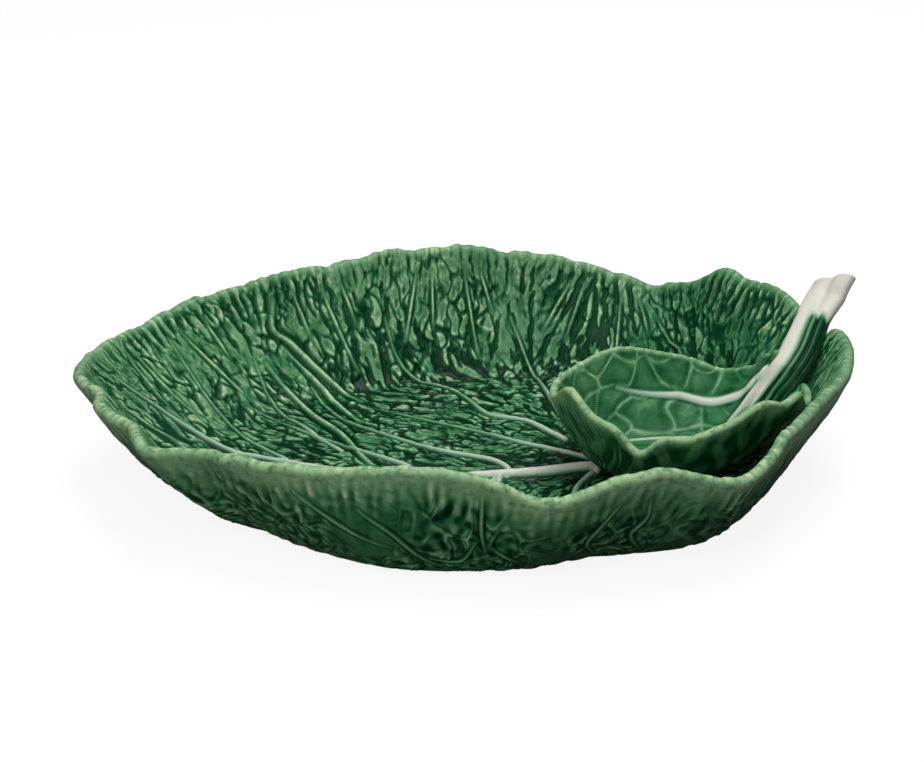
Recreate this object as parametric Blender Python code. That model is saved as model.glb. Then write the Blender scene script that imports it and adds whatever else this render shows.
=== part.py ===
"""Chip and dip platter: a large leaf dish that holds a small dip leaf with a stalk. Metres, +Z up."""

from dataclasses import dataclass, field
from math import radians, tau

import bmesh
import bpy
import numpy as np

MM = 0.001

# Clearance between neighbouring pieces
GAP = 0.3 * MM

# Platter leaf: plan outline
LEAF_LENGTH = 389 * MM
LEAF_WIDTH = 312 * MM
LEAF_SQUARENESS = 2.25
LEAF_TURN = 3.0
LEAF_EGG = 0.10
LEAF_ASIDE = 4 * MM

# Platter leaf: wall and floor
RIM_HEIGHT = 64 * MM
WALL = 6.5 * MM
WALL_CURVE = 1.7
WALL_RUN_SIDE = 37 * MM
WALL_RUN_TIP = 84 * MM
WALL_RUN_STALK = 58 * MM
RUN_BLEND = 2.5
RIM_WAVE = 1 * MM

# Foot ring under the platter
FOOT_HEIGHT = 3 * MM
FOOT_WIDTH = 8 * MM
FOOT_INSET = 10 * MM

# Dip leaf: plan outline, and how far it stands off the platter's stalk end
DIP_LENGTH = 128 * MM
DIP_WIDTH = 106 * MM
DIP_SQUARENESS = 2.2
DIP_TURN = 6.0
DIP_STANDOFF = 17 * MM
DIP_ASIDE = 1 * MM

# Dip leaf: wall and floor
DIP_DEPTH = 37.5 * MM
DIP_WALL = 4.5 * MM
DIP_WALL_CURVE = 1.5
DIP_RUN_SIDE = 27 * MM
DIP_RUN_TIP = 23 * MM
DIP_RUN_STALK = 47 * MM
DIP_WAVE = 1 * MM

# Slip ring that seats the dip leaf
DIP_FOOT_HEIGHT = 3 * MM
DIP_FOOT_WIDTH = 5 * MM
DIP_FOOT_INSET = 3 * MM

# Stalk
STALK_TIP_WIDTH = 26 * MM
STALK_NECK_WIDTH = 18 * MM
STALK_ROOT_WIDTH = 22 * MM
STALK_THICKNESS = 9 * MM
STALK_ROOT_THICKNESS = 3 * MM
STALK_CHANNEL = 0.28
STALK_CHANNEL_WIDTH = 0.3
STALK_ROUNDING = 0.75
STALK_LEAN = 0.6
STALK_EASING = 6
STALK_OVERHANG = 21 * MM
STALK_RISE = 16 * MM
STALK_TIP_BEARING = 50.0
STALK_TWIST = radians(16)
STALK_CUT_SLANT = 0.3
STALK_ROOT_REACH = 0.76

# Notches that let the stalk through: bearing in degrees from each leaf's centre, and depth;
# the stalk crosses the rim aslant, so that notch is wider than the stalk
RIM_NOTCH_BEARING = 19.5
RIM_NOTCH_DEPTH = 7 * MM
RIM_NOTCH_SLANT = 1.5
DIP_NOTCH_BEARING = 25.0
DIP_NOTCH_DEPTH = 8 * MM
NOTCH_MARGIN = 3.5 * MM
NOTCH_FLATNESS = 6
NOTCH_REACH = 4

# Pad of slip between the stalk and the rim notch
SADDLE_THICKNESS = 2.5 * MM
SADDLE_SHARE = 0.7
SADDLE_ROLL_START = radians(20)
SADDLE_ROLL_END = radians(95)

# Moulded ribs: each swells from a slim start and tapers to its end
MIDRIB_RADIUS = 3.2 * MM
SIDE_RIB_RADIUS = 2.0 * MM
THIN_RIB_RADIUS = 1.5 * MM
DIP_RIB_RADIUS = 1.8 * MM
RIB_TAPER = 0.45
RIB_SWELL = 0.2
RIB_SINK = 0.15
RIB_CLEARANCE = 5 * MM

# Pleats that run up the platter's wall between the ribs: foot and top as shares of the wall's run, and how
# far they stray in bearing, lean and length, in degrees and a share
PLEAT_COUNT = 60
PLEAT_RADIUS = 1.4 * MM
PLEAT_FOOT = 0.50
PLEAT_TOP = 0.92
PLEAT_DRIFT = 1.6
PLEAT_LEAN = 2.0
PLEAT_STAGGER = 0.18
PLEAT_UNEVENNESS = (2.4, 5.1, 3.7)
PLEAT_APART = 5 * MM
PLEATLESS_END = 48

# Mesh density
PLATTER_SEGMENTS = 144
DIP_SEGMENTS = 60
NOTCH_STEPS = 18
NOTCH_ZONE = 2
WALL_RINGS = 7
LIP_STEPS = 4
RIB_SIDES = 6
RIB_STEPS = 3
STALK_SIDES = 16
STALK_STATIONS = 19
SADDLE_STEPS = 7
SHARP_EDGE = radians(50)


@dataclass
class Lobe:
    """A wave of the rim: bearing and half-width in degrees, push outwards and lift in metres."""

    bearing: float
    spread: float
    out: float
    up: float


# Waves of the platter's rim, from the tip round by the front to the stalk and back
PLATTER_LOBES = [
    Lobe(-169, 4.5, -10 * RIM_WAVE, -2 * RIM_WAVE),
    Lobe(-161, 5, -5 * RIM_WAVE, -1 * RIM_WAVE),
    Lobe(-154, 4, -8 * RIM_WAVE, -2 * RIM_WAVE),
    Lobe(-143, 4, 8 * RIM_WAVE, -2 * RIM_WAVE),
    Lobe(-137, 4, -7 * RIM_WAVE, -2 * RIM_WAVE),
    Lobe(-98, 12, 0, 4 * RIM_WAVE),
    Lobe(-76, 8, 2 * RIM_WAVE, -10 * RIM_WAVE),
    Lobe(-57, 6, 0, 2 * RIM_WAVE),
    Lobe(-46, 8, 3 * RIM_WAVE, -9 * RIM_WAVE),
    Lobe(-33, 6, -2 * RIM_WAVE, 1.5 * RIM_WAVE),
    Lobe(-20, 15, -13 * RIM_WAVE, 2 * RIM_WAVE),
    Lobe(8, 8, 2.5 * RIM_WAVE, 3 * RIM_WAVE),
    Lobe(31.5, 3, 0, 3 * RIM_WAVE),
    Lobe(36, 12, -2 * RIM_WAVE, 5 * RIM_WAVE),
    Lobe(42, 3, 1 * RIM_WAVE, 5.5 * RIM_WAVE),
    Lobe(55, 9, 0, -9 * RIM_WAVE),
    Lobe(76, 4, 0, 1.5 * RIM_WAVE),
    Lobe(90, 4, 0, 2.5 * RIM_WAVE),
    Lobe(98, 24, 0, 10 * RIM_WAVE),
    Lobe(106, 4, 0, 2 * RIM_WAVE),
    Lobe(127, 6, 0, 2.5 * RIM_WAVE),
    Lobe(156, 4, 0, -2.5 * RIM_WAVE),
    Lobe(165, 16, 0, -6 * RIM_WAVE),
]

# Lean of the platter's base, which sits a little towards the front left
BASE_LOBES = [
    Lobe(-168, 12, 18 * RIM_WAVE, 0),
    Lobe(-106, 26, 9 * RIM_WAVE, 0),
    Lobe(-62, 10, -6 * RIM_WAVE, 0),
    Lobe(-52, 28, -9 * RIM_WAVE, 0),
    Lobe(-40, 14, 6 * RIM_WAVE, 0),
]

# Waves of the dip leaf's rim: high corners at its tip and by the stalk, a low nose at the front
DIP_LOBES = [
    Lobe(-153, 12, 0, 12 * DIP_WAVE),
    Lobe(-114, 9, 0, -12 * DIP_WAVE),
    Lobe(-92, 14, 0, -5 * DIP_WAVE),
    Lobe(-48, 16, 0, 10 * DIP_WAVE),
    Lobe(-28, 6, 2 * DIP_WAVE, 8 * DIP_WAVE),
    Lobe(40.5, 3.5, 0, 6 * DIP_WAVE),
    Lobe(63, 16, 0, -7 * DIP_WAVE),
    Lobe(122, 22, 0, 6 * DIP_WAVE),
]

# Courses of the platter's ribs, from the dip leaf or the midrib outwards: each place is a bearing in
# degrees and a share of the rim's radius
MIDRIB = [(-3, 0.36), (-23, 0.20), (-117, 0.14), (-169, 0.33), (175, 0.58), (171, 0.81), (173, 0.95)]
SIDE_RIBS = [
    [(5, 0.33), (17, 0.26), (63, 0.23), (99, 0.33), (117, 0.47), (123, 0.59)],
    [(32, 0.32), (60, 0.38), (79, 0.43), (89, 0.58), (95, 0.70), (106, 0.84), (108, 0.92)],
    [(52, 0.46), (68, 0.68), (73, 0.79), (77, 0.87), (80, 0.92)],
    [(-27, 0.15), (17, 0.07), (124, 0.13), (137, 0.28), (137, 0.50), (131, 0.73), (130, 0.86)],
    [(-143, 0.16), (-172, 0.16), (167, 0.25), (158, 0.40), (153, 0.53), (149, 0.61)],
    [(29, 0.59), (40, 0.80), (44, 0.88), (48, 0.91), (53, 0.96)],
    [(-3, 0.36), (-37, 0.37), (-55, 0.58), (-62, 0.82)],
    [(-42, 0.14), (-85, 0.31), (-89, 0.60), (-88, 0.90)],
    [(-153, 0.21), (-140, 0.39), (-122, 0.68), (-114, 0.92)],
    [(-174, 0.39), (-159, 0.58), (-147, 0.76), (-138, 0.92)],
    [(-164, 0.23), (176, 0.26), (149, 0.42), (141, 0.58), (137, 0.71), (138, 0.85)],
    [(134, 0.47), (131, 0.58), (128, 0.73), (129, 0.80), (132, 0.88)],
    [(122, 0.65), (124, 0.77), (130, 0.88), (133, 0.92), (131, 0.97)],
]
THIN_RIBS = [
    [(-177, 0.43), (164, 0.63), (158, 0.76), (155, 0.88), (154, 0.96)],
    [(166, 0.34), (157, 0.44), (149, 0.65), (150, 0.75)],
    [(155, 0.46), (148, 0.57), (143, 0.75), (140, 0.87)],
    [(174, 0.60), (-175, 0.73), (-167, 0.90), (-163, 0.95)],
]

# Courses of the dip leaf's ribs, from beside the stalk's root round its wall and over its floor
DIP_RIBS = [
    [(44, 0.83), (58, 0.80), (81, 0.80), (96, 0.80), (112, 0.82)],
    [(38, 0.62), (43, 0.48), (115, 0.38), (154, 0.52)],
]


def bearing_offset(angle, bearing):
    """Signed angle in degrees from a bearing."""
    return (np.degrees(angle) - bearing + 180) % 360 - 180


def wave(angle, lobe):
    return np.exp(-(bearing_offset(angle, lobe.bearing) / lobe.spread) ** 2)


@dataclass
class Leaf:
    """A cupped leaf: a wavy oval rim over a smaller flat base, with an even wall."""

    centre: tuple
    length: float
    width: float
    squareness: float
    turn: float
    egg: float
    underside: float
    rim: float
    wall: float
    curve: float
    runs: tuple
    lobes: list
    base_lobes: list = field(default_factory=list)
    notch_bearing: float = 0.0
    notch_depth: float = 0.0
    notch_half_width: float = 1.0

    def outline(self, angle):
        """Radius of the plain oval, without its waves."""
        turned = angle - radians(self.turn)
        half_width = self.width / 2 * (1 + self.egg * np.cos(turned))
        along = np.abs(np.cos(turned) / (self.length / 2)) ** self.squareness
        across = np.abs(np.sin(turned) / half_width) ** self.squareness
        return (along + across) ** (-1 / self.squareness)

    def rim_radius(self, angle):
        return self.outline(angle) + sum(lobe.out * wave(angle, lobe) for lobe in self.lobes)

    def rim_height(self, angle):
        """Height of the lip's top."""
        return self.rim + sum(lobe.up * wave(angle, lobe) for lobe in self.lobes) - self.notch(angle)

    def notch_half_angle(self):
        return self.notch_half_width / self.outline(radians(self.notch_bearing))

    def notch(self, angle):
        """Drop of the lip into the flat-bottomed notch for the stalk."""
        share = radians(1) * bearing_offset(angle, self.notch_bearing) / self.notch_half_angle()
        return self.notch_depth * np.exp(-share ** NOTCH_FLATNESS)

    def base_radius(self, angle):
        """Radius of the flat base: the plain oval less the wall's run."""
        side, tip, stalk = self.runs
        facing = np.cos(angle - radians(self.turn))
        to_tip = np.clip(-facing, 0, 1) ** RUN_BLEND
        to_stalk = np.clip(facing, 0, 1) ** RUN_BLEND
        run = side + (tip - side) * to_tip + (stalk - side) * to_stalk
        lean = sum(lobe.out * wave(angle, lobe) for lobe in self.base_lobes)
        return self.outline(angle) - run + lean

    def rise(self, angle, radius):
        """Height and slope of the wall's middle at a radius."""
        base = self.base_radius(angle)
        run = self.rim_radius(angle) - base
        share = np.clip((radius - base) / run, 0, 1)
        floor = self.underside + self.wall / 2
        drop = self.notch(angle)
        climb = self.rim_height(angle) + drop - self.wall / 2 - floor
        height = floor + climb * share ** self.curve - drop * share ** NOTCH_REACH
        steepness = climb * self.curve * share ** (self.curve - 1)
        easing = drop * NOTCH_REACH * share ** (NOTCH_REACH - 1)
        return height, (steepness - easing) / run

    def place(self, angle, radius, height):
        x = self.centre[0] + radius * np.cos(angle)
        y = self.centre[1] + radius * np.sin(angle)
        return np.stack([x, y, height + 0 * angle], -1)

    def skin(self, angle, radius, side):
        """Point on the upper (+1) or lower (-1) skin, half a wall from the middle."""
        height, slope = self.rise(angle, radius)
        reach = side * self.wall / 2 / np.sqrt(1 + slope ** 2)
        return self.place(angle, radius - reach * slope, height + reach)

    def lip(self, angle, roll, clearance=0.0):
        """Point on the rounded lip: roll 0 is its inner edge and half a turn its outer edge."""
        radius = self.rim_radius(angle)
        height, slope = self.rise(angle, radius)
        reach = (self.wall / 2 + clearance) / np.sqrt(1 + slope ** 2)
        inward = reach * (slope * np.cos(roll) - np.sin(roll))
        upward = reach * (np.cos(roll) + slope * np.sin(roll))
        return self.place(angle, radius - inward, height + upward)

    def polar(self, x, y):
        dx = x - self.centre[0]
        dy = y - self.centre[1]
        return np.arctan2(dy, dx), np.hypot(dx, dy)

    def top(self, x, y):
        """Height of the upper skin or lip over a plan point, far below where there is none."""
        angle, radius = self.polar(x, y)
        edge = self.rim_radius(angle)
        height, slope = self.rise(angle, np.minimum(radius, edge))
        skin = np.minimum(height + self.wall / 2 * np.sqrt(1 + slope ** 2), self.rim_height(angle))
        return np.where(radius > edge + self.wall, -1.0, skin)

    def angles(self, segments):
        """Even turn of angles, closer together across the notch."""
        reach = NOTCH_ZONE * self.notch_half_angle()
        notch = radians(self.notch_bearing) + np.linspace(-reach, reach, NOTCH_STEPS)
        even = turn_of(segments)
        off = radians(1) * np.abs(bearing_offset(even, self.notch_bearing))
        return np.sort(np.concatenate([even[off > reach + tau / segments / 2], notch % tau]))

    def at(self, bearing, share):
        """Plan point at a bearing in degrees and a share of the rim's radius."""
        angle = radians(bearing)
        return self.place(angle, share * self.rim_radius(angle), 0.0)[:2]


def turn_of(segments):
    return np.arange(segments) * tau / segments


def smooth_path(points, stations):
    """Catmull-Rom curve through the points."""
    points = np.asarray(points, float)
    ends = np.vstack([2 * points[0] - points[1], points, 2 * points[-1] - points[-2]])
    places = np.linspace(0, len(points) - 1, stations)
    first = np.minimum(places.astype(int), len(points) - 2)
    t = (places - first)[:, None]
    before, start, end, after = (ends[first + step] for step in range(4))
    leaving = (end - before) / 2
    arriving = (after - start) / 2
    bend = 3 * (end - start) - 2 * leaving - arriving
    closing = 2 * (start - end) + leaving + arriving
    return start + leaving * t + bend * t ** 2 + closing * t ** 3


def principled(name, colour, roughness):
    material = bpy.data.materials.new(name)
    material.use_nodes = True
    shader = material.node_tree.nodes["Principled BSDF"]
    shader.inputs["Base Color"].default_value = (*colour, 1.0)
    shader.inputs["Roughness"].default_value = roughness
    shader.inputs["Metallic"].default_value = 0.0
    return material


def fill_between(bm, row, other):
    count = len(row)
    for i in range(count):
        following = (i + 1) % count
        bm.faces.new((row[i], row[following], other[following], other[i]))


def fill_end(bm, row):
    """Close a ring with a fan about its middle."""
    middle = bm.verts.new(sum((vert.co for vert in row), row[0].co * 0) / len(row))
    for i, vert in enumerate(row):
        bm.faces.new((vert, row[(i + 1) % len(row)], middle))


def loft(name, rings, material, closed=False):
    """Closed solid through a row of rings: a ring of rings, or a bar with filled ends."""
    bm = bmesh.new()
    rows = [[bm.verts.new(point) for point in ring] for ring in rings]
    for row, other in zip(rows, rows[1:]):
        fill_between(bm, row, other)
    if closed:
        fill_between(bm, rows[-1], rows[0])
    else:
        fill_end(bm, rows[0])
        fill_end(bm, rows[-1])
    bmesh.ops.recalc_face_normals(bm, faces=bm.faces)
    mesh = bpy.data.meshes.new(name)
    bm.to_mesh(mesh)
    bm.free()
    mesh.materials.append(material)
    mesh.shade_smooth()
    mesh.set_sharp_from_angle(angle=SHARP_EDGE)
    obj = bpy.data.objects.new(name, mesh)
    bpy.context.collection.objects.link(obj)
    return obj


def leaf_shell(name, leaf, segments, material):
    """Cupped shell: upper skin from the middle out, round the lip, and the lower skin back in."""
    angle = leaf.angles(segments)
    base = leaf.base_radius(angle)
    run = leaf.rim_radius(angle) - base
    wall = [base + run * share for share in np.linspace(0, 1, WALL_RINGS + 1)[:-1]]
    upper = [leaf.skin(angle, radius, 1) for radius in wall]
    lip = [leaf.lip(angle, roll) for roll in np.linspace(0, tau / 2, LIP_STEPS + 1)]
    lower = [leaf.skin(angle, radius, -1) for radius in reversed(wall)]
    return loft(name, upper + lip + lower, material)


def tube_rings(path, normals, radii):
    """Rings of a tapering tube about a path that lies along a surface."""
    forward = np.gradient(path, axis=0)
    forward /= np.linalg.norm(forward, axis=1)[:, None]
    side = np.cross(forward, normals)
    side /= np.linalg.norm(side, axis=1)[:, None]
    up = np.cross(side, forward)
    rings = []
    for angle in turn_of(RIB_SIDES):
        rings.append(path + radii[:, None] * (np.cos(angle) * side + np.sin(angle) * up))
    return np.stack(rings, 1)


def lay_on(leaf, plan, radii):
    """Lift a plan path onto a leaf's upper skin, sunk a little, with the surface normals."""
    angle, radius = leaf.polar(plan[:, 0], plan[:, 1])
    _, slope = leaf.rise(angle, radius)
    normals = np.stack([-slope * np.cos(angle), -slope * np.sin(angle), np.ones_like(slope)], -1)
    normals /= np.linalg.norm(normals, axis=1)[:, None]
    return leaf.skin(angle, radius, 1) - normals * (RIB_SINK * radii)[:, None], normals


def join_rib(body, leaf, plan, radius, name):
    """Raise a moulded rib on a leaf, as a tapering tube united with its wall."""
    radii = radius * np.interp(np.linspace(0, 1, len(plan)), [0, RIB_SWELL, 1], [RIB_TAPER, 1, RIB_TAPER])
    path, normals = lay_on(leaf, plan, radii)
    rib = loft(name, tube_rings(path, normals, radii), body.data.materials[0])
    rib.hide_render = True
    rib.display_type = "WIRE"
    union = body.modifiers.new(name, "BOOLEAN")
    union.operation = "UNION"
    union.object = rib
    return rib


def clear_of(leaf, plan, clearance):
    """Keep the part of a plan path that stays outside a leaf's base."""
    angle, radius = leaf.polar(plan[:, 0], plan[:, 1])
    return plan[radius > leaf.base_radius(angle) + clearance]


def rib_plan(leaf, course):
    """Smooth plan path through a rib's places."""
    return smooth_path([leaf.at(*place) for place in course], RIB_STEPS * (len(course) - 1) + 1)


def pleat_course(leaf, number):
    """Course of one pleat up the wall, uneven in its bearing, lean and length."""
    drift, lean, stagger = np.sin(np.array(PLEAT_UNEVENNESS) * number)
    bearing = 360 * number / PLEAT_COUNT + PLEAT_DRIFT * drift
    foot = PLEAT_FOOT + PLEAT_STAGGER * stagger
    course = []
    for side, reach in ((-1, foot), (0, (foot + PLEAT_TOP) / 2), (1, PLEAT_TOP)):
        place = bearing + side * PLEAT_LEAN * lean
        base = leaf.base_radius(radians(place))
        rim = leaf.rim_radius(radians(place))
        course.append((place, (base + (rim - base) * reach) / rim))
    return course


def pleat_plans(leaf, ribs):
    """Plan paths of the pleats that keep clear of the ribs and of the stalk's end."""
    plans = []
    for number in range(PLEAT_COUNT):
        course = pleat_course(leaf, number)
        plan = rib_plan(leaf, course)
        nearest = min(np.linalg.norm(plan[:, None] - rib[None], axis=2).min() for rib in ribs)
        if nearest > PLEAT_APART and abs(bearing_offset(radians(course[0][0]), 0)) > PLEATLESS_END:
            plans.append(plan)
    return plans


def platter_ribs(body, platter, dip):
    plans = {}
    for name, courses in (("midrib", [MIDRIB]), ("side_rib", SIDE_RIBS), ("thin_rib", THIN_RIBS)):
        plans[name] = [clear_of(dip, rib_plan(platter, course), RIB_CLEARANCE) for course in courses]
    plans["pleat"] = pleat_plans(platter, [plan for kind in plans.values() for plan in kind])
    radii = {
        "midrib": MIDRIB_RADIUS,
        "side_rib": SIDE_RIB_RADIUS,
        "thin_rib": THIN_RIB_RADIUS,
        "pleat": PLEAT_RADIUS,
    }
    guides = []
    for name, kind in plans.items():
        for number, plan in enumerate(kind):
            guides.append(join_rib(body, platter, plan, radii[name], f"{name}_guide_{number + 1}"))
    return guides


def dip_ribs(body, dip):
    ribs = []
    for number, course in enumerate(DIP_RIBS):
        ribs.append(join_rib(body, dip, rib_plan(dip, course), DIP_RIB_RADIUS, f"dip_rib_guide_{number + 1}"))
    return ribs


def foot_ring(name, leaf, seat, inset, width, segments, material):
    """Ring under a leaf's base, standing on the seat heights below it."""
    angle = turn_of(segments)
    outer = leaf.base_radius(angle) - inset
    top = leaf.underside - GAP
    inner = outer - width
    outer_plan = leaf.place(angle, outer, 0.0)
    inner_plan = leaf.place(angle, inner, 0.0)
    outer_seat = seat(outer_plan[:, 0], outer_plan[:, 1])
    inner_seat = seat(inner_plan[:, 0], inner_plan[:, 1])
    corners = [(outer, outer_seat), (inner, inner_seat), (inner, top), (outer, top)]
    rings = [leaf.place(angle, radius, height) for radius, height in corners]
    return loft(name, rings, material, closed=True)


def table(x, y):
    return 0 * x


def rounded(value):
    return np.sign(value) * np.abs(value) ** STALK_ROUNDING


def stalk_section():
    """Outline of the stalk in half-widths and thicknesses: flat below, two ribs and a groove above."""
    angle = turn_of(STALK_SIDES)
    across = rounded(np.cos(angle))
    groove = STALK_CHANNEL * np.exp(-(across / STALK_CHANNEL_WIDTH) ** 2) * (np.sin(angle) > 0)
    return across, 0.5 + 0.5 * rounded(np.sin(angle)) - groove


@dataclass
class StalkLine:
    """Underside line of the stalk, with its width, thickness and share of the overhang at each station."""

    path: np.ndarray
    side: np.ndarray
    width: np.ndarray
    thickness: np.ndarray
    overhang: np.ndarray
    heading: np.ndarray

    def underside(self, x, y):
        """Height of the stalk's underside over a plan point near the rim."""
        along = self.path[:, :2] @ self.heading
        return np.interp(np.stack([x, y], -1) @ self.heading, along, self.path[:, 2])


def stalk_line(platter, dip):
    """Lead the stalk from the dip leaf's wall over both notches and out past the platter's rim."""
    root = dip.at(DIP_NOTCH_BEARING, STALK_ROOT_REACH)
    over_dip = dip.at(DIP_NOTCH_BEARING, 1.0)
    over_rim = platter.at(RIM_NOTCH_BEARING, 1.0)
    heading = (over_rim - over_dip) / np.linalg.norm(over_rim - over_dip)
    bearing = radians(STALK_TIP_BEARING)
    tip = over_rim + np.array([np.cos(bearing), np.sin(bearing)]) * STALK_OVERHANG
    bed = platter.rim_height(radians(RIM_NOTCH_BEARING)) + SADDLE_THICKNESS
    heights = [
        dip.top(*root) + GAP,
        dip.rim_height(radians(DIP_NOTCH_BEARING)) + GAP,
        bed + GAP,
        bed + GAP + STALK_RISE,
    ]
    anchors = [(*plan, height) for plan, height in zip((root, over_dip, over_rim, tip), heights)]
    path = smooth_path(anchors, STALK_STATIONS)
    part = np.linspace(0, len(anchors) - 1, STALK_STATIONS)
    widths = [STALK_ROOT_WIDTH, STALK_ROOT_WIDTH, STALK_NECK_WIDTH, STALK_TIP_WIDTH]
    width = np.interp(part, range(len(anchors)), widths)
    thickness = np.interp(part, [0, 1], [STALK_ROOT_THICKNESS, STALK_THICKNESS])
    overhang = np.clip(part - 2, 0, 1)
    forward = np.gradient(path, axis=0)
    side = np.stack([forward[:, 1], -forward[:, 0], 0 * forward[:, 0]], -1)
    side /= np.linalg.norm(side, axis=1)[:, None]
    for across, upward in zip(*stalk_section()):
        plan = path + side * (width / 2 * across)[:, None]
        support = np.maximum(platter.top(plan[:, 0], plan[:, 1]), dip.top(plan[:, 0], plan[:, 1]))
        path[:, 2] = np.maximum(path[:, 2], support + GAP - upward * thickness * STALK_LEAN)
    for _ in range(STALK_EASING):
        path[1:-1, 2] = np.maximum(path[1:-1, 2], (path[:-2, 2] + path[2:, 2]) / 2)
    return StalkLine(path, side, width, thickness, overhang, heading)


def stalk_rings(line):
    """Sections of the stalk set square to its underside line, twisted and slanted towards the cut tip."""
    across, upward = stalk_section()
    forward = np.gradient(line.path, axis=0)
    forward /= np.linalg.norm(forward, axis=1)[:, None]
    level = np.cross(line.side, forward)
    tipward = line.overhang[:, None] ** 2
    cosine = np.cos(STALK_TWIST * tipward)
    sine = np.sin(STALK_TWIST * tipward)
    side = line.side * cosine + level * sine + forward * STALK_CUT_SLANT * tipward
    up = level * cosine - line.side * sine
    rings = []
    for across_share, up_share in zip(across, upward):
        sideways = side * (across_share * line.width / 2)[:, None]
        rings.append(line.path + sideways + up * (up_share * line.thickness)[:, None])
    return np.stack(rings, 1)


def build_saddle(platter, line, material):
    """Slip pad on the lip of the rim notch, under the stalk."""
    bearing = radians(RIM_NOTCH_BEARING)
    half_angle = STALK_NECK_WIDTH / 2 * SADDLE_SHARE / platter.rim_radius(bearing)
    rolls = np.linspace(SADDLE_ROLL_START, SADDLE_ROLL_END, SADDLE_STEPS)
    rings = []
    for angle in bearing + np.linspace(-half_angle, half_angle, SADDLE_STEPS):
        lower = platter.lip(np.full_like(rolls, angle), rolls, GAP)
        upper = lower[::-1].copy()
        upper[:, 2] = line.underside(upper[:, 0], upper[:, 1]) - GAP
        rings.append(np.vstack([lower, upper]))
    return loft("stalk_saddle", rings, material)


def platter_form():
    return Leaf(
        centre=(0.0, LEAF_ASIDE),
        length=LEAF_LENGTH,
        width=LEAF_WIDTH,
        squareness=LEAF_SQUARENESS,
        turn=LEAF_TURN,
        egg=LEAF_EGG,
        underside=FOOT_HEIGHT,
        rim=RIM_HEIGHT,
        wall=WALL,
        curve=WALL_CURVE,
        runs=(WALL_RUN_SIDE, WALL_RUN_TIP, WALL_RUN_STALK),
        lobes=PLATTER_LOBES,
        base_lobes=BASE_LOBES,
        notch_bearing=RIM_NOTCH_BEARING,
        notch_depth=RIM_NOTCH_DEPTH,
        notch_half_width=STALK_NECK_WIDTH / 2 * RIM_NOTCH_SLANT + NOTCH_MARGIN,
    )


def dip_form(platter):
    underside = FOOT_HEIGHT + WALL + DIP_FOOT_HEIGHT
    return Leaf(
        centre=(platter.rim_radius(0.0) - WALL / 2 - DIP_STANDOFF - DIP_LENGTH / 2, DIP_ASIDE),
        length=DIP_LENGTH,
        width=DIP_WIDTH,
        squareness=DIP_SQUARENESS,
        turn=DIP_TURN,
        egg=0.0,
        underside=underside,
        rim=underside + DIP_DEPTH,
        wall=DIP_WALL,
        curve=DIP_WALL_CURVE,
        runs=(DIP_RUN_SIDE, DIP_RUN_TIP, DIP_RUN_STALK),
        lobes=DIP_LOBES,
        base_lobes=[],
        notch_bearing=DIP_NOTCH_BEARING,
        notch_depth=DIP_NOTCH_DEPTH,
        notch_half_width=STALK_ROOT_WIDTH / 2 + NOTCH_MARGIN,
    )


def build_platter(platter, dip):
    glaze = principled("green_glaze", (0.035, 0.150, 0.050), 0.15)
    body = leaf_shell("platter_leaf", platter, PLATTER_SEGMENTS, glaze)
    return body, platter_ribs(body, platter, dip)


def build_dip(dip):
    glaze = principled("dip_leaf_glaze", (0.060, 0.190, 0.075), 0.15)
    body = leaf_shell("dip_leaf", dip, DIP_SEGMENTS, glaze)
    return body, dip_ribs(body, dip)


def build_platter_foot(platter):
    clay = principled("bare_clay", (0.780, 0.700, 0.600), 0.85)
    return foot_ring("platter_foot_ring", platter, table, FOOT_INSET, FOOT_WIDTH, PLATTER_SEGMENTS, clay)


def build_dip_foot(platter, dip, slip):
    def seat(x, y):
        return platter.top(x, y) + GAP

    return foot_ring("dip_foot_ring", dip, seat, DIP_FOOT_INSET, DIP_FOOT_WIDTH, DIP_SEGMENTS, slip)


def build_stalk(line):
    return loft("stalk", stalk_rings(line), principled("cream_glaze", (0.720, 0.660, 0.560), 0.20))


def seat_at_origin(pieces, guides):
    """Put the origin under the middle of the whole platter, on the table."""
    root = bpy.data.objects.new("chip_and_dip_platter", None)
    bpy.context.collection.objects.link(root)
    corners = np.array([vert.co for obj in pieces for vert in obj.data.vertices])
    middle = (corners.min(0) + corners.max(0)) / 2
    for obj in pieces + guides:
        obj.parent = root
    root.location = (-middle[0], -middle[1], 0.0)


def build():
    for obj in list(bpy.data.objects):
        bpy.data.objects.remove(obj, do_unlink=True)
    platter = platter_form()
    dip = dip_form(platter)
    line = stalk_line(platter, dip)
    slip = principled("green_slip", (0.090, 0.240, 0.130), 0.25)
    platter_leaf, rib_guides = build_platter(platter, dip)
    dip_leaf, dip_guides = build_dip(dip)
    pieces = [
        platter_leaf,
        build_platter_foot(platter),
        dip_leaf,
        build_dip_foot(platter, dip, slip),
        build_stalk(line),
        build_saddle(platter, line, slip),
    ]
    seat_at_origin(pieces, rib_guides + dip_guides)


build()
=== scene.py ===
"""Looks of the chip and dip platter: leaf relief under pooled green glaze, cream veins and stalk."""

from dataclasses import dataclass, field
from math import pi, radians, tau

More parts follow.
